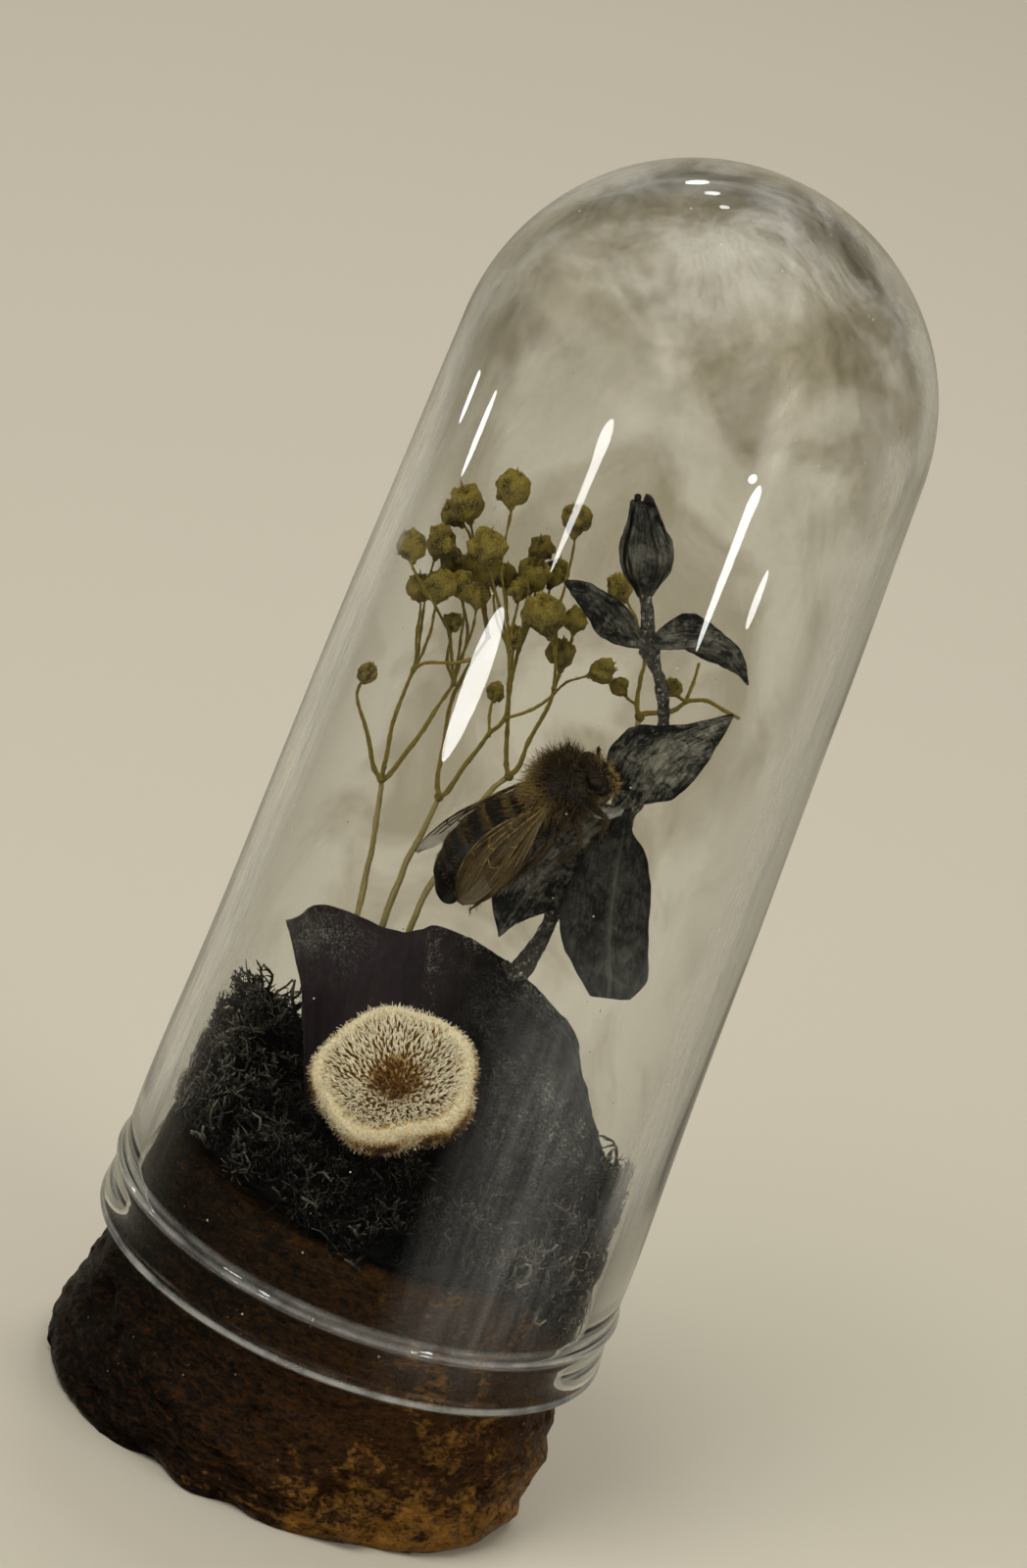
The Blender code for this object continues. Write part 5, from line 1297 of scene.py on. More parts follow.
# a leg or feeler: a rod through its joints that thins at each of them and along its length
def makeLimb(joints, thick, thin, segments, seed):
    count = 14 * len(joints)
    path = through(joints, count)
    t = np.linspace(0, 1, count)
    swell = 0.78 + 0.30 * np.abs(np.sin(math.pi * t * segments)) ** 0.6
    limb = rods(path[None], ((thick + (thin - thick) * t ** 0.8) / 2 * swell)[None], 12)
    return roughen(limb, 0.5, 0.03, seed)


# eggs for the thorax, head and shield, limbs for all that is thin, and two bent hairs as each leg's claws
def makeBeeBody():
    (centre, halves), (hump, humpHalves) = bee["thorax"], bee["shield"]
    parts = [roughen(egg(centre, halves, 48, 36), 0.9, 0.06, 132), makeHead(), egg(hump, humpHalves, 30, 20)]
    parts.append(makeLimb(bee["waist"], 1.5, 1.5, 1, 133))
    for number, joints in enumerate(bee["legs"]):
        thick = 0.62 if number % 3 == 2 else 0.5       # the hind legs are stouter
        parts.append(makeLimb(joints, thick, 0.16, len(joints) - 1, 140 + number))
        apart = np.array([(0, -1, 0), (0, 1, 0)])
        ways = unit(np.subtract(joints[-1], joints[-2])) + 0.3 * apart
        droop = np.array([(0, 0, -0.8)] * 2)
        parts.append(hairs(joints[-1] + 0.05 * apart, ways, np.full(2, 0.34), 0.09, droop, steps=6, sides=6))
    for number, joints in enumerate(bee["feelers"]):
        parts.append(makeLimb(joints, 0.24, 0.17, 9, 150 + number))
    for side in (-1, 1):
        jaw = np.array(bee["jaw"]) * (1, side, 1) + bee["head"][0]
        parts.append(makeLimb(jaw, 0.34, 0.14, 1, 155))
    parts.append(makeLimb(bee["tongue"], 0.3, 0.12, 2, 156))
    body = joined(parts)
    body["marks"] = {"limb": step(-body["points"][:, 2], 1.0, 1.8)}
    return body


# two long eggs turned to the sides, and three round dots on the crown
def makeEyes():
    centre, halves = bee["eyes"]
    parts = []
    for side in (-1, 1):
        axes = axesAlong((1.0, 0.30 * side, 0.06), (0, 0.25 * side, 1))
        parts.append(egg(np.array(centre) * (1, side, 1), halves, 36, 26, axes))
    ahead, apart, up = bee["dots"]
    for x, y in ((ahead, 0.0), (-0.1, -apart), (-0.1, apart)):
        parts.append(egg((x, y, up), (0.11, 0.11, 0.11), 14, 10))
    eyes = joined(parts)
    eyes["points"] += bee["head"][0]
    return eyes


# fur: longest on the thorax, laid back; dark on top and gold behind; short on the head and the legs
def makeBeeFur(body, abdomen):
    spots, out = scatter(body, bee["furHairs"] * 2)
    x, y, z = spots.T
    (ahead, apart, up), head = bee["eyes"][0], bee["head"][0]
    away = np.stack([x - head[0] - ahead, np.abs(y - head[1]) - apart, (z - head[2] - up) * 0.7], axis=-1)
    eye = np.linalg.norm(away, axis=-1) < bee["bare"]
    limb = (z < -1.5) | (x > 3.4)
    keep = ~eye & ((chance.random(len(x)) < 0.5) | ~limb)
    spots, out, x, z, limb = (v[keep][:bee["furHairs"]] for v in (spots, out, x, z, limb))
    count = len(spots)
    ways = unit(out + (-0.35, 0, 0.05) + anyWay(count) * 0.45)
    lengths = np.where(limb, 0.30, np.where(x > 2.3, 0.45, 0.80)) * chance.uniform(0.55, 1.15, count)
    gold = step(-x, -1.0, 1.0) * step(z, -0.4, 1.2)
    cheek = (x > 2.0) * step(-z, 0.0, 1.2) * 0.35
    face = 0.45 * step(x, 2.9, 3.5)
    tone = 0.17 + 0.64 * gold + 0.10 * step(-z, 0, 1.5) + cheek + face + 0.13 * chance.normal(size=count)
    fur = [hairs(
        spots, ways, lengths, bee["furWidth"], anyWay(count) * 0.45, steps=3, tip=0.35,
        tone=np.clip(tone, 0, 1),
    )]
    spots, out = scatter(abdomen, bee["beltHairs"] * 3)
    waist, tail = bee["spine"][0][0], bee["spine"][-1][0]
    share = np.clip((waist - spots[:, 0]) / (waist - tail), 0, 1)
    band = share * bee["bands"] % 1.0
    keep = np.flatnonzero((chance.random(len(share)) < np.where(band < 0.38, 1.0, 0.30)) & (share < 0.86))
    spots, out, band, share = (v[keep][:bee["beltHairs"]] for v in (spots, out, band, share))
    count = len(spots)
    lengths = (0.55 - 0.32 * step(share, 0.05, 0.35)) * chance.uniform(0.6, 1.2, count)
    tone = np.where(band < 0.24, 0.52, 0.15) + 0.22 * (1 - step(share, 0.1, 0.45))
    tone += 0.12 * chance.normal(size=count)
    fur.append(hairs(
        spots, unit(out * 0.5 + (-1.0, 0, -0.1) + anyWay(count) * 0.35), lengths, bee["beltWidth"],
        anyWay(count) * 0.3, steps=3, tip=0.4, tone=np.clip(tone, 0, 1),
    ))
    return fur


# a wing: half width from its shape list, its front edge kept straighter, with pleats along it
def wingSheet(wing, seed, rows=90, columns=40):
    root, tip, across, width, bow = (np.array(v, float) for v in wing)
    along = tip - root
    across = unit(across - along * (across @ along) / (along @ along))
    face = unit(np.cross(along, across))
    face = face * np.sign(face[1] * root[1])            # away from the body, on either side
    t = np.linspace(0, 1, rows)[:, None]
    a = np.linspace(-1, 1, columns)[None, :]
    half = width / 2 * through(bee["wingShape"], rows)[:, None]
    shift = 0.10 * width * np.sin(math.pi * t)
    spots = pointsOf(a * 1.5, t * 6, seed)
    lift = bow * np.sin(math.pi * t) + 0.10 * roughness(spots, 1.1, 161) + 0.05 * np.cos(a * 9) * t
    place = root + along * t[..., None] + across * (half * a + shift)[..., None]
    return place + face * lift[..., None]


# the ribs of a wing: each follows its place on the sheet, worked out between the four nearest points
def veinRods(sheet, count=22):
    rows, columns = sheet.shape[:2]
    parts = []
    for number, vein in enumerate(bee["veins"]):
        line = through(vein, count)
        r = np.clip(line[:, 0] * (rows - 1), 0, rows - 1.001)
        c = np.clip((line[:, 1] + 1) / 2 * (columns - 1), 0, columns - 1.001)
        i, j = r.astype(int), c.astype(int)
        u, v = (r % 1)[:, None], (c % 1)[:, None]
        near = sheet[i, j] * (1 - v) + sheet[i, j + 1] * v
        far = sheet[i + 1, j] * (1 - v) + sheet[i + 1, j + 1] * v
        width = np.linspace(0.16 if number < 3 else 0.11, 0.07, count)
        parts.append(rods((near * (1 - u) + far * u)[None], width[None] / 2, 6))
    return joined(parts)


# dark horn, browner in patches and on the limbs
def shellFinish():
    horn = newFinish("beeCuticle")
    skin = horn.clouds(horn.place(), 0.5, detail=6.0, rough=0.6)
    base = horn.blend(horn.fade(skin, 0.40, 0.68), bee["black"], bee["brown"])
    base = horn.blend(horn.mark("limb") * 0.8, base, bee["limb"])
    return horn.finish(colour=base, rough=0.36, gloss=0.35, normal=horn.relief(skin, 0.06))


# the abdomen's bands: amber in front of each, black behind, and a glossy black tail
def beltFinish():
    belts = newFinish("beeBelts")
    belt, skin = belts.mark("belt"), belts.clouds(belts.place(), 0.45, detail=5.0)
    band = belts.mark("band") + (skin - 0.5) * 0.5
    pale = belts.ramp(band, [(0.0, 0.85), (0.16, 0.70), (0.34, 0.0), (0.93, 0.0), (1.0, 0.7)])
    front = belts.ramp(belt, [(0.0, 1.0), (0.45, 0.8), (0.72, 0.35), (0.84, 0.0)])
    return belts.finish(
        colour=belts.blend(pale * front, bee["black"], bee["amber"]), gloss=0.28,
        rough=belts.ramp(belt, [(0.5, 0.45), (0.9, 0.22)]), normal=belts.relief(skin, 0.05),
    )


# dark, gold or pale by each hair's tone, and lighter towards its tip
def furFinish():
    fur = newFinish("beeFur")
    colours = fur.ramp(fur.mark("tone") * (fur.mark("along") * 0.5 + 0.6), [
        (0.10, bee["furDark"]), (0.45, bee["furGold"]), (0.85, bee["furPale"]),
    ])
    normal = fur.relief(fur.clouds(fur.place(), 0.1, detail=2.0), 0.02)
    return fur.finish(colour=colours, rough=0.65, gloss=0.18, sheen=0.12, sheenRough=0.4, normal=normal)


# the wings' skin: smoky, streaked along, darker at the front edge and thinner towards the tip
def wingFinish():
    wing = newFinish("beeMembrane")
    along, across = wing.mark("along"), wing.mark("across")
    blade = wing.value("CombineXYZ", "Vector", {"X": across * 6.0, "Y": along * 2.5})
    stain = wing.clouds(blade, 1.0, detail=6.0, rough=0.7, distort=0.4)
    front = wing.ramp(across, [(0.45, 0.0), (0.95, 0.75)])
    base = wing.blend(wing.fade(stain, 0.40, 0.64), bee["membrane"], bee["thin"])
    cover = wing.ramp(along, [(0.1, 0.92), (0.55, 0.80), (0.9, 0.70)]) * wing.mark("cover")
    return wing.finish(
        colour=wing.blend(front, base, bee["brown"]), rough=0.3, gloss=0.22,
        alpha=(cover + front * 0.3).clamped(), normal=wing.relief(wing.cells(wing.place(), 0.16), 0.012),
    )


# the wings' ribs: brown horn, lighter than the membrane between them
def veinFinish():
    vein = newFinish("beeVein")
    horn = vein.clouds(vein.place(), 0.5)
    base = vein.blend(vein.fade(horn, 0.38, 0.64), bee["limb"], bee["vein"])
    return vein.finish(colour=base, rough=0.45, gloss=0.3, normal=vein.relief(horn, 0.02))


# nearly black, with fine facets
def eyeFinish():
    eye = newFinish("beeEye")
    where = eye.place()
    base = eye.blend(eye.clouds(where, 0.5, detail=3.0), bee["eye"], bee["facet"])
    return eye.finish(colour=base, rough=0.18, gloss=0.6, normal=eye.relief(eye.cells(where, 0.06), 0.01))


beeBody, beeAbdomen, beeEyes = makeBeeBody(), makeAbdomen(), makeEyes()
beeCoat, beltCoat = makeBeeFur(beeBody, beeAbdomen)
cuticle, furBrown = shellFinish(), furFinish()
beeParts = [
    ("beeBody", beeBody, cuticle, ["bee"]), ("beeAbdomen", beeAbdomen, beltFinish(), []),
    ("beeEyes", beeEyes, eyeFinish(), []), ("beeFur", beeCoat, furBrown, []),
    ("beeBeltFur", beltCoat, furBrown, []),
]
membrane = wingFinish()
veins = []
for number, (name, wing) in enumerate(bee["wings"].items()):
    sheet = wingSheet(wing, number * 4.1)
    cover = bee["farCover"] if name.endswith("Left") else 1.0
    beeParts.append((name, shell(sheet, bee["wingThick"], cover=cover), membrane, []))
    veins.append(veinRods(sheet))
beeParts.append(("beeWingVeins", joined(veins), veinFinish(), []))
for name, shape, finish, stands in beeParts:
    shape["points"] = shape["points"] @ beeAxes + bee["place"]
    addPiece(name, shape, finish, stands)


# the sprigs of small round buds: four stems and their branches; each arm of a branch is its bud's
# width (0 for none) and its path, and starts on an arm before it
sprigs = {
    "stems": {
        "sprigLeftStem": [(-6.6, 4.8, 20.9), (-7.4, 4.4, 28), (-8.1, 4.15, 34), (-9, 3.4, 39.2),
            (-9.6, 3, 42.3)],
        "sprigMiddleStem": [(-4.9, 5.4, 20.9), (-5.9, 5.2, 28), (-6.3, 4.9, 34.5), (-5.9, 4.2, 39.6),
            (-5.8, 4, 42.2)],
        "sprigRightStem": [(-3.6, 5.6, 20.9), (-4.5, 5.3, 29), (-4.3, 4.6, 36), (-3.1, 3.7, 43),
            (-2.2, 3.5, 45.4)],
        "sprigBackStem": [(2.2, 5.2, 20.9), (3, 4.6, 30), (3.6, 4.4, 37.5), (4.9, 4.9, 45.5),
            (4.1, 5, 51.7)],
    },
    "branches": {
        "sprigLeftOuter": [
            (1.25, [(-10.3, 2.95, 42.75), (-11.2, 2.6, 44.6), (-12.8, 2.1, 46.8), (-13, 1.8, 48),
                (-12.8, 1.5, 49.2)]),
        ],
        "sprigLeftMiddle": [
            (0, [(-9.8, 2.8, 43.3), (-10.1, 2.8, 45.2), (-10.3, 2.7, 47.4), (-10.2, 2.5, 50.1)]),
            (1.6, [(-10.2, 2.5, 50.1), (-10.8, 1.8, 53), (-11.7, 0.9, 56.1)]),
            (2, [(-10.2, 2.5, 50.1), (-10, 1.7, 53), (-10.5, 0.5, 56.9)]),
            (1.8, [(-10.2, 2.5, 50.1), (-10.6, 2.6, 52.8), (-11.4, 2.4, 56.1), (-11.6, 2.2, 58.9)]),
            (0, [(-10.2, 2.5, 50.1), (-9.6, 2, 51), (-8.3, 1.6, 51.8), (-7.1, 1.6, 52.5)]),
        ],
        "sprigLeftInner": [
            (0, [(-9.2, 3.15, 42.8), (-8.6, 3.4, 45), (-8.1, 3.7, 47.3), (-7.6, 4, 49.6)]),
            (1.7, [(-7.6, 4, 49.6), (-8.9, 2.2, 53.3), (-10, -0.4, 55.5), (-12.3, -1.4, 58),
                (-13.1, -0.6, 59.1)]),
            (1.4, [(-7.6, 4, 49.6), (-7.7, 3.5, 52), (-7.7, 2.8, 54.4), (-8.2, 2.7, 56.3)]),
            (1.6, [(-7.6, 4, 49.6), (-8.1, 3.2, 52.9), (-9.3, 2.2, 56.8)]),
            (1.1, [(-7.6, 4, 49.6), (-8.5, 3.2, 51.2), (-9, 2.2, 54.2)]),
            (1.5, [(-7.6, 4, 49.6), (-8.1, 4.4, 53.1), (-10.5, 3.8, 57.5)]),
        ],
        "sprigMiddleLeft": [
            (0, [(-6.2, 4.15, 42.9), (-6.6, 4.4, 44.9), (-7.2, 4.7, 47.4), (-7.2, 4.9, 50.3),
                (-6.6, 4.9, 53)]),
            (1.8, [(-6.6, 4.9, 53), (-7.8, 5, 55.1), (-9, 5.4, 57.1)]),
            (2.1, [(-6.6, 4.9, 53), (-8, 4.2, 56.1), (-9.7, 3.5, 59.5), (-11, 3.2, 61.6)]),
            (1.6, [(-6.6, 4.9, 53), (-8.6, 4.9, 56.3), (-10, 4.7, 58.9), (-11.5, 4.6, 60.1)]),
        ],
        "sprigMiddleRight": [
            (0, [(-5.4, 3.85, 42.9), (-4.9, 3.6, 45.3), (-4.3, 3.2, 47.6), (-3.7, 3, 49.1),
                (-4.3, 2.8, 51.5), (-5, 2.6, 53.6)]),
            (2, [(-5, 2.6, 53.6), (-6, 2.1, 56), (-7.4, 1.7, 59.1), (-8, 1.4, 62.5), (-8.5, 1.3, 64.4)]),
            (2.1, [(-5, 2.6, 53.6), (-6.6, 1.9, 56.6), (-7.9, 1.4, 58.7), (-8.6, 1.1, 60.2)]),
            (1.4, [(-5, 2.6, 53.6), (-5.8, 3.8, 55), (-7, 4.6, 57.5)]),
            (1.3, [(-5, 2.6, 53.6), (-5.5, 2.2, 55.9), (-5.8, 1.9, 58)]),
            (1.5, [(-5, 2.6, 53.6), (-6.7, 2.8, 55.6), (-7.8, 2.9, 58)]),
            (1.2, [(-4.3, 2.8, 51.5), (-4.6, 3, 53), (-5, 3, 54.5)]),
            (1.5, [(-3.7, 3, 49.1), (-2.5, 3.6, 50), (-1.6, 4.1, 51.2), (-0.9, 4.3, 52.4),
                (0.1, 4.4, 53.2), (0.9, 4.5, 53.9)]),
            (1.1, [(-4.3, 3.2, 47.6), (-4.7, 4.6, 48.7), (-4.9, 5.6, 49.5)]),
        ],
        "sprigRightLeft": [
            (0, [(-2.6, 3.75, 46), (-3.3, 3.8, 47.9), (-4.1, 4.2, 50.7), (-4.5, 4.4, 53.2)]),
            (2, [(-4.5, 4.4, 53.2), (-5, 4.2, 55.9), (-5.4, 3.9, 58.5)]),
            (1.5, [(-4.5, 4.4, 53.2), (-4.8, 4.6, 56.6), (-5.5, 4.6, 60)]),
            (1.6, [(-4.5, 4.4, 53.2), (-4.2, 5, 56.1), (-4.1, 5.2, 58.6)]),
        ],
        "sprigRightInner": [
            (0, [(-1.9, 3.3, 46.2), (-1.8, 3.2, 48.2), (-1.5, 3, 50.8), (-1.6, 2.8, 52.3)]),
            (2.4, [(-1.6, 2.8, 52.3), (-2.3, 2.2, 54.7), (-3.7, 1.6, 57.1)]),
            (1.7, [(-1.6, 2.8, 52.3), (-1.6, 3.2, 53.4), (-2, 3.5, 54.4)]),
            (1.4, [(-1.6, 2.8, 52.3), (-1.6, 4.2, 54.9), (-1.9, 4.9, 56.3)]),
            (1.8, [(-2.3, 2.2, 54.7), (-3.1, 2.3, 57.9), (-3.6, 2.1, 61.6), (-4.1, 2, 63.7)]),
        ],
        "sprigBackLeft": [
            (1.5, [(3.65, 5.2, 52.3), (3.3, 5.8, 53.9), (3.1, 6.2, 55), (1.7, 6.8, 57), (-0.1, 7, 58.5)]),
            (1.1, [(3.65, 5.2, 52.3), (3.1, 5.1, 52.5), (2.2, 5, 53.1)]),
        ],
        "sprigBackRight": [
            (0, [(4.4, 5.1, 52), (5.8, 5.4, 52.6), (6.5, 5.8, 53.5), (7.6, 6, 53.9), (9, 6.1, 53.7),
                (10.1, 6.1, 53.6)]),
            (0, [(6.5, 5.8, 53.5), (6.6, 6.4, 54.6), (6.4, 6.9, 55.7)]),
            (1.1, [(6.5, 5.8, 53.5), (5.9, 6.2, 53.5), (5.4, 6.4, 53.8)]),
        ],
    },
    "footWidth": 0.48, "branchWidth": 0.34, "twigWidth": 0.22, "tipWidth": 0.14, "joint": 0.30,
    "budProfile": [             # radius and height of a bud whose half width is 1
        (0, -1.42), (0.2, -1.36), (0.26, -1.15), (0.52, -0.93), (0.86, -0.55), (1.0, 0.0), (0.9, 0.48),
        (0.64, 0.8), (0.34, 0.96), (0.14, 0.98), (0, 0.9),
    ],
    "teeth": 5, "budSize": 1.06,
    "olive": "#776625", "husk": "#ad9848", "shade": "#201909", "straw": "#d2c28c", "bark": "#998a58",
}


# a stem or twig: a thin rod that swells a little at its joints and where it starts
def makeTwig(path, start, end, seed, foot=0.1):
    count = 16 * len(path)
    t = np.linspace(0, 1, count)
    joints = np.exp(-((t * (len(path) - 1) - np.round(t * (len(path) - 1))) / 0.10) ** 2)
    width = start + (end - start) * t + 0.05 * joints + foot * np.exp(-(t / 0.03) ** 2)
    line = through(path, count)
    sway = np.stack([hills(line + s * 9, 2.2, seed) for s in range(3)], axis=-1)
    line = line + 0.14 * sway * np.sin(t * math.pi)[:, None]
    twig = rods(line[None], (width / 2)[None], 9)
    return roughen(twig, 0.3, 0.028, seed + 3)


# a bud: the profile turned round its lean, creased and wrinkled, with withered teeth at its mouth
def makeSeedBud(centre, lean, width, seed):
    axes = axesAlong(lean, (0.3, 1.0, 0.1))[[1, 2, 0]]
    ball = turned(through(sprigs["budProfile"], 26).clip((0, -9)), 22)
    x, y, z = ball["points"].T
    angle = np.arctan2(y, x)
    body = step(np.abs(x) + np.abs(y), 0.1, 0.6) * step(z, -1.1, -0.3)
    crease = (0.07 * np.cos(5 * angle + seed) - 0.10 * np.abs(np.sin(2.5 * angle + seed)) ** 9) * body
    ball["points"] = ball["points"] * (1 + np.stack([crease, crease, 0 * crease], axis=-1))
    spots = ball["points"] + seed * 5.7
    wrinkled = roughness(spots * (1.6, 1.6, 0.8), 0.62, 101)
    sunk = 0.24 * wrinkled - 0.20 * step(-hills(spots, 0.9, 105), 0.15, 0.7)
    ball["points"] = ball["points"] + outward(ball) * (sunk * step(z, -1.2, -0.7))[:, None]
    # the worn mark is low in the sunk creases, where the finish paints shade
    ball["marks"] = {"worn": np.clip(0.5 + 0.9 * sunk + 0.25 * hills(spots, 0.5, 107), 0, 1)}
    turn = np.arange(sprigs["teeth"]) * tau / sprigs["teeth"] + seed
    ring = roundAxis(1.0, turn, 0.0)
    roots = ring * (0.30, 0.30, 0) + (0, 0, 0.80)
    lengths = 0.42 + 0.16 * np.sin(turn * 3 + seed)
    inward = unit(ring * (-0.15 + 0.4 * math.sin(seed)) + (0, 0, 1.0))
    teeth = hairs(roots, inward, lengths, 0.30, ring * 0.35, sides=4, tip=0.15, worn=0.7)
    bud = joined([ball, teeth])
    bud["points"] = bud["points"] @ axes * (width / 2) * sprigs["budSize"] + centre
    bud["marks"]["ripe"] = np.full(len(bud["points"]), (seed * 0.37) % 1.0)
    return bud


# a branch: its first arm starts in the end of the nearest stem, and each arm with a width ends in a bud
def makeBranch(arms, seed):
    parts = []
    ends = np.array([path[-1] for path in sprigs["stems"].values()])
    for number, (width, path) in enumerate(arms):
        path = np.array(path)
        start = sprigs["twigWidth"] if number else sprigs["branchWidth"]
        end = sprigs["tipWidth"] if width else sprigs["twigWidth"]
        if not number:
            nearest = ends[np.argmin(np.linalg.norm(ends - path[0], axis=1))]
            path = np.concatenate([[nearest], path])
        else:
            path[0] -= unit(path[1] - path[0]) * 0.08
        twig = makeTwig(path, start, end, seed + number * 3)
        plain = np.ones(len(twig["points"]))
        twig["marks"] = {"ripe": 0.5 * plain, "worn": 0.62 * plain}
        parts.append(twig)
        if not number:
            knot = egg(nearest, (sprigs["joint"],) * 3, 14, 10, worn=0.5)
            parts.append(roughen(knot, 0.4, 0.08, seed))
        if width:
            parts.append(makeSeedBud(path[-1], path[-1] - path[-2], width, seed + number * 3.1))
    return joined(parts)


# dried stalks and buds: olive, darkened by painted shade in the creases, with a crust of fine wrinkles
def budFinish(name, low, high):
    skin = newFinish(name)
    where = skin.place()
    crust = skin.clouds(where, 0.42, detail=6.0, rough=0.66, distort=0.9)
    grain = skin.clouds(where, 0.11)
    # low worn marks, in the creases, take the shade colour: painted shade
    raised = skin.fade(skin.mark("worn") * 0.7 + crust * 0.45, 0.38, 0.66)
    ripe = skin.fade(grain, 0.40, 0.70) * (skin.mark("ripe") * 0.45 + 0.25)
    base = skin.blend(ripe, skin.blend(raised, sprigs["shade"], low), high)
    normal = skin.relief(grain, 0.05, skin.relief(crust, 0.16))
    return skin.finish(colour=base, rough=0.6, gloss=0.35, normal=normal)


# a piece's name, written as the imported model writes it
def cadName(name):
    return "".join("_" + c.lower() if c.isupper() else c for c in name)


stalkFinish = budFinish("strawStalk", sprigs["bark"], sprigs["straw"])
budSkin = budFinish("oliveBud", sprigs["olive"], sprigs["husk"])
for number, (name, path) in enumerate(sprigs["stems"].items()):
    stalk = makeTwig(path, sprigs["footWidth"], sprigs["branchWidth"], 110 + number, 0.2)
    stalk["marks"]["worn"] = np.full(len(stalk["points"]), 0.65)
    addPiece(name, stalk, stalkFinish, [cadName(name)])
for number, (name, arms) in enumerate(sprigs["branches"].items()):
    addPiece(name, makeBranch(arms, 120 + number * 11), budSkin, [cadName(name)])


# the room: a pale floor, a soft grey all round, and soft lamps; narrow strips give the glass its streaks
room = {
    "floor": "#c6beab", "far": 3.0,     # and how many metres it reaches each way
    "air": ("#c8c6c0", 0.45), "beyond": ("#c9bfa6", 0.66),  # all round, and as the glass bends it into view
    "lamps": [                  # name, azimuth, elevation, distance, width, height, watts
        ("keyLamp", -38, 50, 420, 200, 200, 1.25),
        ("fillLamp", 60, 32, 420, 240, 240, 0.42),
        ("backLamp", 165, 48, 420, 240, 160, 0.75),
    ],
    "gleams": [                 # azimuth, distance, low end, high end, width and glow of each streak's lamp
        (-44, 120, 13, 25, 20, 15), (-30, 120, 30, 76, 11, 14), (40.5, 120, 28, 64, 10, 18),
        (59, 120, 30, 34, 7, 14), (-92, 120, 29, 36, 7, 14), (-109, 120, 30, 35, 7, 12),
        (36, 110, 66, 73, 7, 60), (-161, 300, 230, 262, 30, 9), (-161, 300, 312, 340, 26, 9),
        (-161, 300, 420, 455, 24, 9),
    ],
    "clouds": (0.05, 1.10), "tone": "#fff3df",  # the least and the most that gloss shows of the air above
    "behind": [(0.05, 1.0), (0.60, 0.25)],      # and its share, front to back
    "table": [(0.05, "#1d1c1a"), (0.50, "#524f47"), (0.90, "#a09986")],     # and what gloss shows below
    "camera": {
        "elevation": 22.5, "roll": 21.4, "lens": 500.0, "distance": 1355.0, "aim": (-1.72, 0.0, 46.3),
    },
}


# a soft lamp that looks at its target
def areaLamp(name, place, target, width, height, watts):
    data = bpy.data.lights.new(name, "AREA")
    data.shape = "RECTANGLE"
    data.size, data.size_y, data.energy = width * mm, height * mm, watts
    lamp = bpy.data.objects.new(name, data)
    lamp.location = Vector(place) * mm
    lamp.rotation_euler = (Vector(target) - Vector(place)).to_track_quat("-Z", "Y").to_euler()
    bpy.context.scene.collection.objects.link(lamp)
    return lamp


# a point at an azimuth (0 in front, 90 on the right), an elevation and a distance from the middle
def around(azimuth, elevation, distance, middle=(0.0, 0.0, 45.0)):
    turn, lift = math.radians(azimuth), math.radians(elevation)
    way = (math.sin(turn) * math.cos(lift), -math.cos(turn) * math.cos(lift), math.sin(lift))
    return Vector(middle) + Vector(way) * distance


# a colour at a strength, as a background takes it
def glow(colour, strength):
    return [channel * strength for channel in tint(colour)[:3]] + [1.0]


# what lies all round: soft clouds and a dark table for mirrored rays, and even air for the others
def makeAir():
    world = bpy.data.worlds.new("softGrey")
    air = Nodes(world)
    way = air.value("TexCoord", "Generated")
    x, y, z = air.axes(way)
    least, most = room["clouds"]
    drift = air.ramp(air.clouds(way, 1.0, distort=1.8), [(0.42, least / most), (0.62, 1.0)]) * most
    above = air.blend(1.0, drift * air.ramp(y, room["behind"]), room["tone"], "MULTIPLY")
    gloss = air.blend(air.fade(z, 0.0, 0.30), air.ramp(y, room["table"]), above)
    bent = air.value("LightPath", "Is Transmission Ray")
    seen = air.blend(bent, glow(*room["air"]), glow(*room["beyond"]))
    air.feed(air.tree.nodes["Background"].inputs["Color"], air.blend(air.mirrored(), seen, gloss))
    bpy.context.scene.world = world


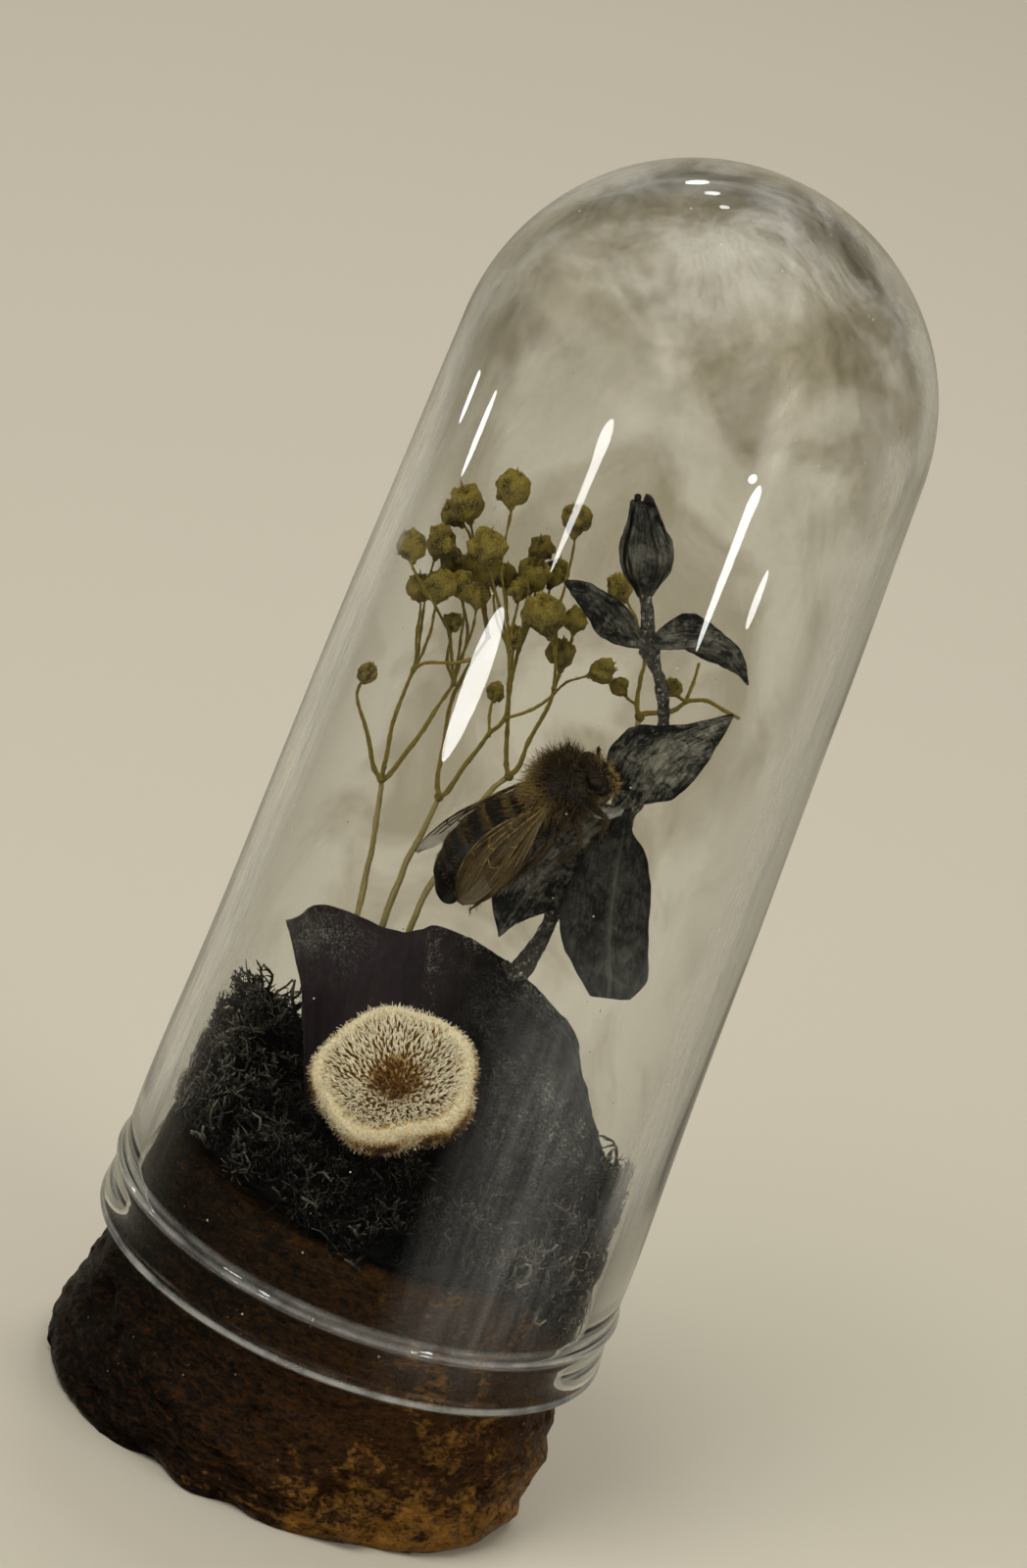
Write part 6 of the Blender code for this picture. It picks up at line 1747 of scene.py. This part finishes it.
# the lamps light surfaces, and the gleams show only where glass or gloss mirrors them;
# a gleam's watts are pi times its glow times the area of its ellipse
def makeLamps():
    for name, azimuth, elevation, distance, width, height, watts in room["lamps"]:
        lamp = areaLamp(name, around(azimuth, elevation, distance), (0, 0, 40), width, height, watts)
        lamp.visible_glossy = lamp.visible_transmission = lamp.visible_camera = False
    for number, (azimuth, distance, low, high, width, glare) in enumerate(room["gleams"]):
        middle = (0, 0, (low + high) / 2)
        watts = glare * math.pi * math.pi / 4 * width * (high - low) * mm * mm
        spot = around(azimuth, 0, distance, middle)
        gleam = areaLamp("gleam_%d" % number, spot, middle, width, high - low, watts)
        gleam.data.shape = "ELLIPSE"
        gleam.visible_camera = gleam.visible_diffuse = gleam.visible_transmission = False


# the floor shows to every ray but the mirrored ones
def makeFloor():
    mesh = bpy.data.meshes.new("floor")
    far = room["far"]
    mesh.from_pydata([(-far, -far, 0), (far, -far, 0), (far, far, 0), (-far, far, 0)], [], [(0, 1, 2, 3)])
    pale = newFinish("paleFloor")
    pale.gap(pale.mirrored())
    mesh.materials.append(pale.finish(colour=room["floor"], rough=0.75, gloss=0.2))
    floor = bpy.data.objects.new("floor", mesh)
    bpy.context.scene.collection.objects.link(floor)
    floor.visible_glossy = False


# the camera: far off with a long lens, looking down and rolled as the photo was taken
def makeCamera():
    view = room["camera"]
    data = bpy.data.cameras.new("camera")
    data.lens, data.sensor_width = view["lens"], 36.0
    data.clip_start, data.clip_end = 0.1, 10.0
    camera = bpy.data.objects.new("camera", data)
    back = around(0, view["elevation"], view["distance"], view["aim"]) - Vector(view["aim"])
    camera.location = (Vector(view["aim"]) + back) * mm
    level = (-back).to_track_quat("-Z", "Y")
    camera.rotation_mode = "QUATERNION"
    camera.rotation_quaternion = level @ Matrix.Rotation(math.radians(view["roll"]), 3, "Z").to_quaternion()
    bpy.context.scene.collection.objects.link(camera)
    bpy.context.scene.camera = camera


makeAir()
makeLamps()
makeFloor()
makeCamera()
bpy.context.scene.view_settings.view_transform = "Standard"
print("room, lamps and camera are in place")
